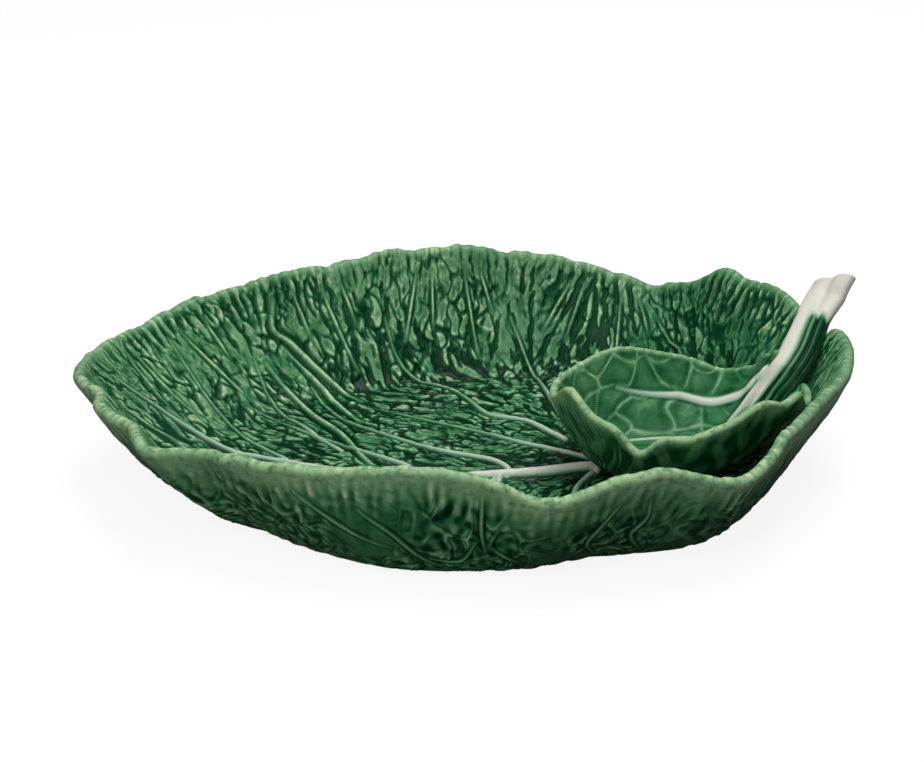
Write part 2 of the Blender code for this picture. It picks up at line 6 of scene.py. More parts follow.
import bpy
import numpy as np
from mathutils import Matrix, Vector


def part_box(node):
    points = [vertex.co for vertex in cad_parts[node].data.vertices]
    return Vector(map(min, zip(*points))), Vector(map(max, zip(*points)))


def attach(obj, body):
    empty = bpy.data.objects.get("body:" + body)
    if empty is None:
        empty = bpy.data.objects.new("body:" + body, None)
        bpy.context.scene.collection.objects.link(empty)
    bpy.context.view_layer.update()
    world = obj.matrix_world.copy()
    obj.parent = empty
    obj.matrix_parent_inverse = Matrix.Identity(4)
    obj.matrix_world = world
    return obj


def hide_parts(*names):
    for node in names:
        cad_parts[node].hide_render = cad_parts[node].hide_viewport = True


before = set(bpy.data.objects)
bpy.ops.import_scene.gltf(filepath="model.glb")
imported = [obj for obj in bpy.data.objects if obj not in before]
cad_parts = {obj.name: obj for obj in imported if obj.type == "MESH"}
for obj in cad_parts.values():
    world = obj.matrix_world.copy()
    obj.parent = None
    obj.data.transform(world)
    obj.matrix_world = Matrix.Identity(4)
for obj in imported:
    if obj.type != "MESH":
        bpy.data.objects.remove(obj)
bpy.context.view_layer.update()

MM = 0.001
UP = np.array([0.0, 0.0, 1.0])

# Forms of the two leaves, as in the part's source
RUN_BLEND = 2.5
NOTCH_FLATNESS = 6
NOTCH_REACH = 4
LOBE_OUT = 2
LOBE_UP = 3

# Density of the maps and meshes
MAP_PITCH = 0.5 * MM
DIP_MAP_PITCH = 0.4 * MM
MAP_MARGIN = 6 * MM
DIP_MAP_MARGIN = 5 * MM
FLOW_PITCH = 4 * MM
TABLE_TURNS = 720
TABLE_STEPS = 160
DIRECTIONS = 16
PLATTER_GRID = 609
DIP_GRID = 177
LIP_RINGS = 8
WALL_RINGS = 88
UNDERSIDE_RINGS = 5
VEIN_STEP = 0.7 * MM
VEIN_POINTS = 80
VEIN_MARGIN = 5
PLEAT_STEPS = 7


def bearing_offset(angle, bearing):
    """Signed angle in degrees from a bearing."""
    return (np.degrees(angle) - bearing + 180) % 360 - 180


def bell(value, width, place=0, power=2):
    """Soft bump of height 1 at a place, flatter for a higher power."""
    return np.exp(-((value - place) / width) ** power)


def towards(angle, bearing, spread):
    """Soft bump of height 1 at a bearing."""
    return bell(bearing_offset(angle, bearing), spread)


def rising(value, start, run):
    """Straight rise from 0 at a start to 1 after a run."""
    return np.clip((value - start) / run, 0, 1)


def between(table, row, column):
    """Values of a table between its points."""
    i, s = np.divmod(row, 1)
    j, t = np.divmod(column, 1)
    i = i.astype(int)
    j = j.astype(int)
    near = table[i, j] * (1 - t) + table[i, j + 1] * t
    far = table[i + 1, j] * (1 - t) + table[i + 1, j + 1] * t
    return near * (1 - s) + far * s


@dataclass
class Leaf:
    """A cupped leaf: a wavy oval rim over a smaller flat base. A lobe is bearing, spread, out and up."""

    centre: tuple
    length: float
    width: float
    squareness: float
    turn: float
    egg: float
    underside: float
    rim: float
    wall: float
    curve: float
    runs: tuple
    lobes: list
    base_lobes: list = field(default_factory=list)
    notch_bearing: float = 0.0
    notch_depth: float = 0.0
    notch_half_width: float = 1.0

    def outline(self, angle):
        turned = angle - radians(self.turn)
        half_width = self.width / 2 * (1 + self.egg * np.cos(turned))
        along = np.abs(np.cos(turned) / (self.length / 2)) ** self.squareness
        across = np.abs(np.sin(turned) / half_width) ** self.squareness
        return (along + across) ** (-1 / self.squareness)

    def waves(self, angle, lobes, column):
        """Sum of the lobes' pushes outwards or upwards."""
        total = 0 * angle
        for lobe in lobes:
            total = total + lobe[column] * MM * towards(angle, *lobe[:2])
        return total

    def rim_radius(self, angle):
        return self.outline(angle) + self.waves(angle, self.lobes, LOBE_OUT)

    def notch(self, angle):
        half_angle = self.notch_half_width / self.outline(radians(self.notch_bearing))
        share = radians(1) * bearing_offset(angle, self.notch_bearing) / half_angle
        return self.notch_depth * np.exp(-share ** NOTCH_FLATNESS)

    def base_radius(self, angle):
        side, tip, stalk = self.runs
        facing = np.cos(angle - radians(self.turn))
        to_tip = np.clip(-facing, 0, 1) ** RUN_BLEND
        to_stalk = np.clip(facing, 0, 1) ** RUN_BLEND
        run = side + (tip - side) * to_tip + (stalk - side) * to_stalk
        return self.outline(angle) - run + self.waves(angle, self.base_lobes, LOBE_OUT)

    def rise(self, angle, radius):
        """Height and slope of the wall's middle at a radius."""
        base = self.base_radius(angle)
        run = self.rim_radius(angle) - base
        share = np.clip((radius - base) / run, 0, 1)
        floor = self.underside + self.wall / 2
        drop = self.notch(angle)
        climb = self.rim + self.waves(angle, self.lobes, LOBE_UP) - self.wall / 2 - floor
        height = floor + climb * share ** self.curve - drop * share ** NOTCH_REACH
        steepness = climb * self.curve * share ** (self.curve - 1)
        easing = drop * NOTCH_REACH * share ** (NOTCH_REACH - 1)
        return height, (steepness - easing) / run

    def place(self, angle, radius, height):
        x = self.centre[0] + radius * np.cos(angle)
        y = self.centre[1] + radius * np.sin(angle)
        return np.stack([x, y, height + 0 * angle], -1)

    def skin(self, angle, radius, roll):
        """Points and normals of the wall: roll 0 is its upper skin and half a turn its lower skin."""
        height, slope = self.rise(angle, radius)
        scale = 1 / np.sqrt(1 + slope ** 2)
        inward = scale * (slope * np.cos(roll) - np.sin(roll))
        upward = scale * (np.cos(roll) + slope * np.sin(roll))
        normal = np.stack([-inward * np.cos(angle), -inward * np.sin(angle), upward + 0 * angle], -1)
        return self.place(angle, radius, height) + normal * self.wall / 2, normal

    def lip(self, angle, roll):
        return self.skin(angle, self.rim_radius(angle), roll)


# Waves of the rims and of the platter's base: bearing, spread, out and up in millimetres
PLATTER_LOBES = [
    (-169, 4.5, -10, -2), (-161, 5, -5, -1), (-154, 4, -8, -2), (-143, 4, 8, -2), (-137, 4, -7, -2),
    (-98, 12, 0, 4), (-76, 8, 2, -10), (-57, 6, 0, 2), (-46, 8, 3, -9), (-33, 6, -2, 1.5),
    (-20, 15, -13, 2), (8, 8, 2.5, 3), (31.5, 3, 0, 3), (36, 12, -2, 5), (42, 3, 1, 5.5),
    (55, 9, 0, -9), (76, 4, 0, 1.5), (90, 4, 0, 2.5), (98, 24, 0, 10), (106, 4, 0, 2),
    (127, 6, 0, 2.5), (156, 4, 0, -2.5), (165, 16, 0, -6),
]
BASE_LOBES = [(-168, 12, 18, 0), (-106, 26, 9, 0), (-62, 10, -6, 0), (-52, 28, -9, 0), (-40, 14, 6, 0)]
DIP_LOBES = [
    (-153, 12, 0, 12), (-114, 9, 0, -12), (-92, 14, 0, -5), (-48, 16, 0, 10),
    (-28, 6, 2, 8), (40.5, 3.5, 0, 6), (63, 16, 0, -7), (122, 22, 0, 6),
]

# Wing of the dip leaf's rim that sweeps up to the stalk's left edge
DIP_WING = (34.6, 3.4, 0, 15)

platter = Leaf(
    centre=(0.0, 4 * MM), length=389 * MM, width=312 * MM, squareness=2.25, turn=3.0, egg=0.10,
    underside=3 * MM, rim=64 * MM, wall=6.5 * MM, curve=1.7, runs=(37 * MM, 84 * MM, 58 * MM),
    lobes=PLATTER_LOBES, base_lobes=BASE_LOBES,
    notch_bearing=19.5, notch_depth=7 * MM, notch_half_width=17 * MM,
)
dip = Leaf(
    centre=(platter.rim_radius(np.zeros(1))[0] - 84.25 * MM, 1 * MM),
    length=128 * MM, width=106 * MM, squareness=2.2, turn=6.0, egg=0.0,
    underside=12.5 * MM, rim=50 * MM, wall=4.5 * MM, curve=1.5, runs=(27 * MM, 23 * MM, 47 * MM),
    lobes=DIP_LOBES + [DIP_WING], notch_bearing=25.0, notch_depth=8 * MM, notch_half_width=14.5 * MM,
)

# Stalk: underside line in millimetres from the dip leaf's wall over both rims to the cut tip
STALK_LINE = [
    (144, 16, 26), (156, 21.5, 36), (165, 27, 43.5), (172, 37, 51), (178, 52, 58.2),
    (184, 68.5, 63.4), (191, 78.7, 69.1), (197.4, 85.2, 76.8),
]

# Ribs across the stalk's green sheath: place from its left edge -1 to its right edge 1, and lift
SHEATH_PLACES = (-0.3, -0.06, 0.06, 0.2, 0.34, 0.46, 0.58, 0.72, 0.84, 1)
SHEATH_LIFT = (0, -0.08, 0.02, 0.15, -0.04, -0.14, 0.07, -0.03, -0.1, -0.05)

# Share of the stalk's length where its cream tip meets the green sheath
FRINGE = 0.7

# Courses of the platter's veins: each place is a bearing in degrees and a share of the rim's radius
MIDRIB = [(-3, 0.36), (-23, 0.2), (-117, 0.14), (-169, 0.33), (175, 0.58), (171, 0.81), (173, 0.95)]
MAIN_VEINS = [
    [(5, 0.33), (17, 0.26), (63, 0.23), (99, 0.33), (117, 0.47), (123, 0.59)],
    [(32, 0.32), (60, 0.38), (79, 0.43), (89, 0.58), (95, 0.7), (106, 0.84), (108, 0.92)],
    [(52, 0.46), (68, 0.68), (73, 0.79), (77, 0.87), (80, 0.92)],
    [(-27, 0.15), (17, 0.07), (124, 0.13), (137, 0.28), (137, 0.5), (131, 0.73), (130, 0.86)],
    [(-143, 0.16), (-172, 0.16), (167, 0.25), (158, 0.4), (153, 0.53), (149, 0.61)],
    [(29, 0.59), (40, 0.8), (44, 0.88), (48, 0.91), (53, 0.96)],
    [(-3, 0.36), (-37, 0.37), (-55, 0.58), (-62, 0.82)],
    [(-42, 0.14), (-85, 0.31), (-89, 0.6), (-88, 0.9)],
    [(-153, 0.21), (-140, 0.39), (-122, 0.68), (-114, 0.92)],
    [(-174, 0.39), (-159, 0.58), (-147, 0.76), (-138, 0.92)],
]
BROAD_VEINS = [
    [(-164, 0.23), (176, 0.26), (149, 0.42), (141, 0.58), (137, 0.71), (138, 0.85)],
    [(134, 0.47), (131, 0.58), (128, 0.73), (129, 0.8), (132, 0.88)],
    [(122, 0.65), (124, 0.77), (130, 0.88), (133, 0.92), (131, 0.97)],
]
THIN_VEINS = [
    [(-177, 0.43), (164, 0.63), (158, 0.76), (155, 0.88), (154, 0.96)],
    [(166, 0.34), (157, 0.44), (149, 0.65), (150, 0.75)],
    [(155, 0.46), (148, 0.57), (143, 0.75), (140, 0.87)],
    [(174, 0.6), (-175, 0.73), (-167, 0.9), (-163, 0.95)],
]

# Pleats that run up the platter's wall between the veins, as in the part's source
PLEAT_COUNT = 60
PLEAT_FOOT = 0.5
PLEAT_TOP = 0.92
PLEAT_DRIFT = 1.6
PLEAT_LEAN = 2
PLEAT_STAGGER = 0.18
PLEAT_UNEVENNESS = (2.4, 5.1, 3.7)
PLEAT_APART = 5 * MM
PLEATLESS_END = 48


def catmull(points, count):
    """Smooth curve through the points."""
    points = np.asarray(points, float)
    ends = np.vstack([2 * points[0] - points[1], points, 2 * points[-1] - points[-2]])
    places = np.linspace(0, len(points) - 1, count)
    first = np.minimum(places.astype(int), len(points) - 2)
    t = (places - first)[:, None]
    before, start, end, after = (ends[first + step] for step in range(4))
    leaving = (end - before) / 2
    arriving = (after - start) / 2
    bend = 3 * (end - start) - 2 * leaving - arriving
    closing = 2 * (start - end) + leaving + arriving
    return start + leaving * t + bend * t ** 2 + closing * t ** 3


EVEN_SHARES = np.linspace(0, 1, TABLE_STEPS)
EVEN_TURNS = np.linspace(0, tau, TABLE_TURNS + 1)


class Unrolled:
    """A leaf flattened by the arc length of its radial lines, so that its relief keeps one scale."""

    def __init__(self, leaf):
        self.leaf = leaf
        angle = EVEN_TURNS[:, None]
        base = leaf.base_radius(angle)
        radius = base + (leaf.rim_radius(angle) - base) * EVEN_SHARES
        height = leaf.rise(angle, radius)[0]
        steps = np.hypot(np.diff(radius, axis=1), np.diff(height, axis=1))
        length = np.hstack([0 * base, base, base + np.cumsum(steps, 1)])
        radius = np.hstack([0 * base, radius])
        self.total = length[:, -1]
        radii = np.stack([np.interp(EVEN_SHARES * row[-1], row, line) for row, line in zip(length, radius)])
        self.radii = np.hstack([radii, radii[:, -1:]])
        self.floor_share = base[:, 0] / self.total

    def around(self, table, angle):
        return np.interp(angle % tau, EVEN_TURNS, table)

    def radius(self, angle, share):
        """Plan radius at a share of the arc length."""
        row = angle % tau / tau * TABLE_TURNS
        return between(self.radii, row, np.clip(share, 0, 1) * (TABLE_STEPS - 1))

    def flat(self, angle, share):
        """Point on the flattened leaf."""
        arc = share * self.around(self.total, angle)
        return arc * np.cos(angle), arc * np.sin(angle)

    def flatten(self, plan):
        """Flattened place of plan points in the leaf's own coordinates."""
        dx = plan[:, 0] - self.leaf.centre[0]
        dy = plan[:, 1] - self.leaf.centre[1]
        angle = np.arctan2(dy, dx)
        radius = np.hypot(dx, dy)
        rows = (angle % tau / tau * TABLE_TURNS).astype(int)
        share = [np.interp(r, self.radii[row, :-1], EVEN_SHARES) for row, r in zip(rows, radius)]
        return np.stack(self.flat(angle, np.array(share)), -1)

    def places(self, sheet):
        """Bearings over a sheet, and shares of the way to the lip."""
        angle = np.arctan2(sheet.y, sheet.x)
        return angle, np.hypot(sheet.x, sheet.y) / self.around(self.total, angle)


class Sheet:
    """Square map over a flattened leaf."""

    def __init__(self, half, pitch):
        self.pitch = pitch
        self.count = int(2 * half / pitch) + 1
        self.start = -(self.count - 1) / 2 * pitch
        axis = self.start + np.arange(self.count) * pitch
        self.x, self.y = np.meshgrid(axis, axis, indexing="ij")

    def sample(self, values, x, y):
        row, column = (np.clip((v - self.start) / self.pitch, 0, self.count - 1.001) for v in (x, y))
        return between(values, row, column)

    def nearest(self, values, places):
        """Values at the points of the map nearest to the places."""
        i, j = np.rint((places.T - self.start) / self.pitch).astype(int).clip(0, self.count - 1)
        return values[i, j]

    def window(self, low, high):
        """Part of the map between two corners."""
        first = ((low - self.start) / self.pitch).astype(int).clip(0)
        last = ((high - self.start) / self.pitch).astype(int).clip(0) + 2
        return slice(first[0], last[0]), slice(first[1], last[1])

    def frequencies(self):
        fx = np.fft.fftfreq(self.count, self.pitch)[:, None]
        fy = np.fft.rfftfreq(self.count, self.pitch)[None, :]
        return np.hypot(fx, fy), np.arctan2(fy, fx)

    def filtered(self, values, response):
        return np.fft.irfft2(np.fft.rfft2(values) * response, s=values.shape)

    def blur(self, values, width):
        return self.filtered(values, np.exp(-2 * (pi * width * self.frequencies()[0]) ** 2))

    def clouds(self, width, seed):
        """Soft noise of unit strength, about as coarse as width."""
        noise = self.blur(np.random.default_rng(seed).standard_normal(self.x.shape), width)
        return noise / noise.std()

    def streaks(self, pitch, direction, spread, seed, band_width=0.38):
        """Noise of wandering ridges that follow a field of directions, of unit strength."""
        noise = np.random.default_rng(seed).standard_normal(self.x.shape)
        spectrum = np.fft.rfft2(noise)
        frequency, heading = self.frequencies()
        band = spectrum * bell(frequency * pitch, band_width, 1)
        layers = []
        for step in range(DIRECTIONS):
            across = pi * step / DIRECTIONS + pi / 2
            layer = np.fft.irfft2(band * bell(np.sin(heading - across), spread), s=noise.shape)
            layers.append((layer / layer.std()).astype(np.float32))
        stack = np.stack(layers)
        low, t = np.divmod(direction % pi / pi * DIRECTIONS, 1)
        low = low.astype(int) % DIRECTIONS
        first = np.take_along_axis(stack, low[None], 0)[0]
        second = np.take_along_axis(stack, (low[None] + 1) % DIRECTIONS, 0)[0]
        return first * (1 - t) + second * t


def hollows(values, level, shoulder=0.18):
    """How far a field dips below a level, with a soft shoulder and a flat bottom."""
    return np.tanh(2 * shoulder * np.logaddexp(0, (level - values) / shoulder))


@dataclass
class Vein:
    """A raised vein on a sheet: its course, half-widths and heights along it, and how cream it is."""

    course: np.ndarray
    width: np.ndarray
    height: np.ndarray
    cream: np.ndarray


def vein_plan(leaf, course, count):
    """Plan path through bearings and shares of the rim's radius."""
    angle = np.radians([bearing for bearing, _ in course])
    radius = leaf.rim_radius(angle) * np.array([share for _, share in course])
    return catmull(leaf.place(angle, radius, 0.0)[:, :2], count)


def make_vein(unrolled, course, width, height, cream):
    """Vein along a course, with values from its start to its end."""
    rough = unrolled.flatten(vein_plan(unrolled.leaf, course, VEIN_POINTS))
    length = np.concatenate([[0], np.cumsum(np.linalg.norm(np.diff(rough, axis=0), axis=1))])
    even = np.linspace(0, length[-1], int(length[-1] / VEIN_STEP) + 2)
    course = np.stack([np.interp(even, length, rough[:, axis]) for axis in (0, 1)], -1)
    share = even / length[-1]
    values = [np.interp(share, np.linspace(0, 1, len(steps)), steps) for steps in (width, height, cream)]
    return Vein(course, values[0] * MM, values[1] * MM, values[2])


def pleat_course(leaf, number):
    """Course of one pleat up the wall, uneven in its bearing, lean and length."""
    drift, lean, stagger = np.sin(np.array(PLEAT_UNEVENNESS) * number)
    bearing = 360 * number / PLEAT_COUNT + PLEAT_DRIFT * drift
    foot = PLEAT_FOOT + PLEAT_STAGGER * stagger
    course = []
    for side, reach in ((-1, foot), (0, (foot + PLEAT_TOP) / 2), (1, PLEAT_TOP)):
        place = bearing + side * PLEAT_LEAN * lean
        base = leaf.base_radius(radians(place))
        rim = leaf.rim_radius(radians(place))
        course.append((place, (base + (rim - base) * reach) / rim))
    return course


def pleat_courses(leaf, courses):
    """Courses of the pleats that keep clear of the veins and of the stalk's end."""
    plans = [vein_plan(leaf, course, 3 * len(course) - 2) for course in courses]
    pleats = []
    for number in range(PLEAT_COUNT):
        course = pleat_course(leaf, number)
        plan = vein_plan(leaf, course, PLEAT_STEPS)
        nearest = min(np.linalg.norm(plan[:, None] - other[None], axis=2).min() for other in plans)
        if nearest > PLEAT_APART and abs(bearing_offset(radians(course[0][0]), 0)) > PLEATLESS_END:
            pleats.append(course)
    return pleats


def flow(sheet, unrolled, veins, reach, radial_from, pull=6.0, least=0.02, step=6):
    """Directions of the ridges: along the veins near them, and straight up towards the rim."""
    coarse = Sheet(-sheet.start, FLOW_PITCH)
    angle, share = unrolled.places(coarse)
    uphill = pull * rising(share, radial_from, 1 - radial_from) ** 2 + least
    cosine = uphill * np.cos(2 * angle)
    sine = uphill * np.sin(2 * angle)
    for vein in veins:
        heading = np.gradient(vein.course, axis=0)
        twice = 2 * np.arctan2(heading[:, 1], heading[:, 0])
        for place, double in list(zip(vein.course, twice))[::step]:
            weight = np.exp(-((coarse.x - place[0]) ** 2 + (coarse.y - place[1]) ** 2) / reach ** 2)
            cosine += weight * np.cos(double)
            sine += weight * np.sin(double)
    cosine = coarse.sample(cosine, sheet.x, sheet.y)
    sine = coarse.sample(sine, sheet.x, sheet.y)
    return np.arctan2(sine, cosine) / 2


def lay_veins(sheet, veins, groove):
    """Maps of the veins: relief, calm round them, cream, and shade from pale crown to dark groove."""
    ridge, calm, cream, shade = (np.zeros_like(sheet.x) for _ in range(4))
    for vein in veins:
        margin = VEIN_MARGIN * vein.width.max()
        window = sheet.window(vein.course.min(0) - margin, vein.course.max(0) + margin)
        x = sheet.x[window]
        y = sheet.y[window]
        best = np.full(x.shape, np.inf)
        nearest = np.zeros(x.shape, int)
        for number, place in enumerate(vein.course):
            distance = (x - place[0]) ** 2 + (y - place[1]) ** 2
            closer = distance < best
            best[closer] = distance[closer]
            nearest[closer] = number
        across = np.sqrt(best) / vein.width[nearest]
        height = vein.height[nearest]
        profile = height * (bell(across, width=1) - groove * bell(across, width=0.8, place=2.0))
        strongest = np.abs(profile) > np.abs(ridge[window])
        ridge[window] = np.where(strongest, profile, ridge[window])
        tint = 1.2 * groove * bell(across, width=0.7, place=1.8) - bell(across, width=0.7)
        tint = tint * np.clip(1.5 * height / MM, 0, 1)
        shade[window] = np.where(strongest, tint, shade[window])
        calm[window] = np.maximum(calm[window], bell(across, width=2.2, power=4))
        cover = vein.cream[nearest] * bell(across, width=1.1, power=4)
        cream[window] = np.maximum(cream[window], cover)
    return ridge, calm, cream, shade


def cell_net(sheet, pitch, stretch, direction, wander, seed, jitter=0.42, coarse=0.35, far=2.5):
    """Net of uneven cells drawn out along directions: distances from its edges and corners."""
    rng = np.random.default_rng(seed)
    ticks = np.arange(sheet.start, -sheet.start, pitch)
    grid = np.stack(np.meshgrid(ticks, ticks), -1).reshape(-1, 2)
    places = grid + rng.uniform(-jitter, jitter, grid.shape) * pitch
    turns = sheet.nearest(direction, places)
    pulls = np.sqrt(sheet.nearest(stretch, places))
    x = sheet.x + wander * sheet.clouds(pitch * coarse, seed + 100)
    y = sheet.y + wander * sheet.clouds(pitch * coarse, seed + 200)
    ranks = [np.ones_like(x) for _ in range(3)]
    for place, turn, pull in zip(places, turns, pulls):
        reach = far * pitch * pull
        window = sheet.window(place - reach, place + reach)
        dx = x[window] - place[0]
        dy = y[window] - place[1]
        along = (dx * np.cos(turn) + dy * np.sin(turn)) / pull
        across = (dy * np.cos(turn) - dx * np.sin(turn)) * pull
        distance = np.hypot(along, across)
        for rank in ranks:
            closer = np.minimum(rank[window], distance)
            distance = np.maximum(rank[window], distance)
            rank[window] = closer
    first, second, third = ranks
    return (second - first) / 2, (third - first) / 2


@dataclass
class Relief:
    """Maps of one skin: height in metres, glaze depth from thin 0 to pooled 1 with some painted shade and
    light in it, and cream.
    """

    sheet: Sheet
    height: np.ndarray
    glaze: np.ndarray
    cream: np.ndarray

    def at(self, x, y):
        return [self.sheet.sample(values, x, y) for values in (self.height, self.glaze, self.cream)]


# Bearing and spread in degrees: where the inside is darker at the back right, where the dip leaf's painted
# shade falls inside and on the lip, and where painted light makes the outside lighter
BACK_RIGHT_DARKENING = (44, 22)
DIP_LEAF_SHADE = (0, 35)
LIT_FRONT_LEFT = (-140, 40)

# Veins from start to end: half-widths and heights in millimetres, and cream
MIDRIB_FORM = ((3, 2.6, 1.8, 1.2, 0.8), (2.6, 2.2, 1.6, 1.2, 0.7), (1, 1, 0.9, 0.7, 0.1))
MAIN_FORM = ((1.2, 1, 0.9, 0.7), (1.5, 1.4, 1.1, 0.1), (1, 0.75, 0.15, 0, 0))
THIN_FORM = ((0.9, 0.8, 0.7), (1, 0.9, 0.1), (0.8, 0.15, 0, 0))
BROAD_FORM = ((1.2, 1.9, 1.2), (0.1, 1.5, 1.2, 0.1), (0, 0))
PLEAT_FORM = ((0.7, 1, 0.7), (0, 1, 0), (0, 0))
OUTER_FORM = ((0.8, 1, 0.7), (0.3, 0.9, 0.2), (0, 0.1, 0))
DIP_FORM = ((3.4, 2.4, 1.8, 1.3, 0.9), (1.3, 1, 0.8, 0.5), (1, 1, 0.9, 0.3))


def make_veins(unrolled, courses, form):
    return [make_vein(unrolled, course, *form) for course in courses]


def platter_veins(unrolled):
    veins = make_veins(unrolled, [MIDRIB], MIDRIB_FORM)
    veins += make_veins(unrolled, MAIN_VEINS, MAIN_FORM)
    veins += make_veins(unrolled, THIN_VEINS, THIN_FORM)
    veins += make_veins(unrolled, BROAD_VEINS, BROAD_FORM)
    courses = [MIDRIB] + MAIN_VEINS + THIN_VEINS + BROAD_VEINS
    return veins + make_veins(unrolled, pleat_courses(unrolled.leaf, courses), PLEAT_FORM)


# Dark marks of the Savoy relief: depth in millimetres, and how much each deepens the glaze
MARK_DEPTH = {"strokes": 0.8, "net": 0.7, "threads": 0.35, "pits": 0.15}
MARK_SHADE = {"strokes": 0.50, "net": 0.55, "threads": 0.30, "pits": 0.25}


def savoy_marks(sheet, direction, beside, on_wall, near_rim):
    """Dark marks of the Savoy relief, the grain that they follow, and the brinks beside them."""
    grain = sheet.streaks(11 * MM, direction, spread=0.55, seed=21) * (1 - beside)
    grain += sheet.streaks(7 * MM, direction, spread=0.40, seed=22) * beside
    grain += 0.45 * sheet.streaks(4.5 * MM, direction, spread=0.6, seed=23)
    level = -0.2 - 0.35 * on_wall + 0.45 * sheet.clouds(8 * MM, seed=28)
    stretch = 1.4 + 0.8 * on_wall
    edges, corners = cell_net(sheet, 11 * MM, stretch, direction, wander=2.2 * MM, seed=24)
    small, _ = cell_net(sheet, 6 * MM, stretch, direction, wander=1.2 * MM, seed=25)
    broken = np.clip(0.55 + 0.55 * sheet.clouds(5 * MM, seed=29), 0, 1.1) * (1 - 0.4 * near_rim)
    patches = np.clip(0.35 - 0.35 * on_wall + 0.5 * sheet.clouds(6 * MM, seed=31), 0, 1)
    marks = {
        "strokes": hollows(grain, level),
        "net": broken * bell(edges, width=0.8 * MM),
        "threads": patches * bell(small, width=0.5 * MM),
        "pits": bell(corners, width=1.2 * MM),
    }
    brinks = bell(grain - level, width=0.22, place=0.5)
    brinks = brinks + broken * bell(edges, width=0.55 * MM, place=1.8 * MM)
    return marks, grain, brinks


def platter_inside(unrolled):
    """Puffed cells in a net of dark channels, drawn out into pleats near the rim, and veins."""
    sheet = Sheet(unrolled.total.max() + MAP_MARGIN, MAP_PITCH)
    veins = platter_veins(unrolled)
    angle, share = unrolled.places(sheet)
    on_wall = rising(share, unrolled.around(unrolled.floor_share, angle), run=0.2)
    near_rim = rising(share, start=0.80, run=0.12)
    ridge, calm, cream, shade = lay_veins(sheet, veins, groove=0.8)
    beside = np.maximum(np.clip(2.0 * sheet.blur(calm, 5 * MM), 0, 1), 0.9 * near_rim)
    direction = flow(sheet, unrolled, veins, reach=22 * MM, radial_from=0.7)
    direction = direction + 0.4 * sheet.clouds(9 * MM, seed=11) * (1 - beside)
    marks, grain, brinks = savoy_marks(sheet, direction, beside, on_wall, near_rim)

    detail = 0.3 + 0.15 * np.tanh(grain) + 0.15 * brinks
    for name, mark in marks.items():
        detail = detail - MARK_DEPTH[name] * mark
    warp = 0.35 * MM * sheet.clouds(14 * MM, seed=32)
    height = sheet.blur(MM * detail * (1 - 0.8 * calm) + ridge + warp, 0.35 * MM)

    crest = height - sheet.blur(height, 1.4 * MM)
    pale = 0.10 * np.clip(grain - 0.6, 0, 1) + 0.18 * np.clip(crest / crest.std(), 0, 1.5)
    pale = pale + 0.27 * brinks
    dark = sum(MARK_SHADE[name] * mark for name, mark in marks.items())
    dark = 0.75 * np.tanh(1.5 * (dark * (1.35 - 0.35 * on_wall)))
    # Darker on the wall towards the back right
    back_right_darkening = towards(angle, *BACK_RIGHT_DARKENING) * on_wall
    # Painted shade of the dip leaf: darker inside near the stalk's end, below the lip
    dip_leaf_shade = towards(angle, *DIP_LEAF_SHADE) * np.clip((0.95 - share) / 0.15, 0, 1)
    glaze = 0.46 + 0.11 * (1 - on_wall) + 0.12 * back_right_darkening + 0.35 * dip_leaf_shade
    glaze = glaze + 0.06 * sheet.clouds(3 * MM, seed=30)
    glaze = glaze + (dark - pale) * (1 - 0.8 * calm) + 0.62 * shade
    return Relief(sheet, height, np.minimum(glaze, 1 - 0.12 * on_wall), cream)


# Veins of the platter's outer wall: bearing in degrees and share of the rim's radius
OUTER_VEINS = [
    [(-64, 0.83), (-67, 0.89), (-66, 0.93), (-64, 0.97)],
    [(-55, 0.83), (-59, 0.89), (-58, 0.93), (-59, 0.97)],
    [(-109, 0.97), (-103, 0.94), (-97, 0.89), (-93, 0.86)],
    [(-120, 0.98), (-114, 0.95), (-109, 0.93), (-104, 0.92)],
    [(-87, 0.99), (-87, 0.95), (-86, 0.91)],
    [(-97, 0.9), (-91, 0.89), (-88, 0.93)],
    [(-85, 0.92), (-79, 0.87)],
    [(150, 0.97), (156, 0.9), (150, 0.84), (158, 0.74)],
    [(100, 0.97), (104, 0.92), (98, 0.86), (102, 0.8)],
    [(60, 0.97), (56, 0.91), (62, 0.86)],
    [(-160, 0.95), (-152, 0.88), (-156, 0.8)],
]


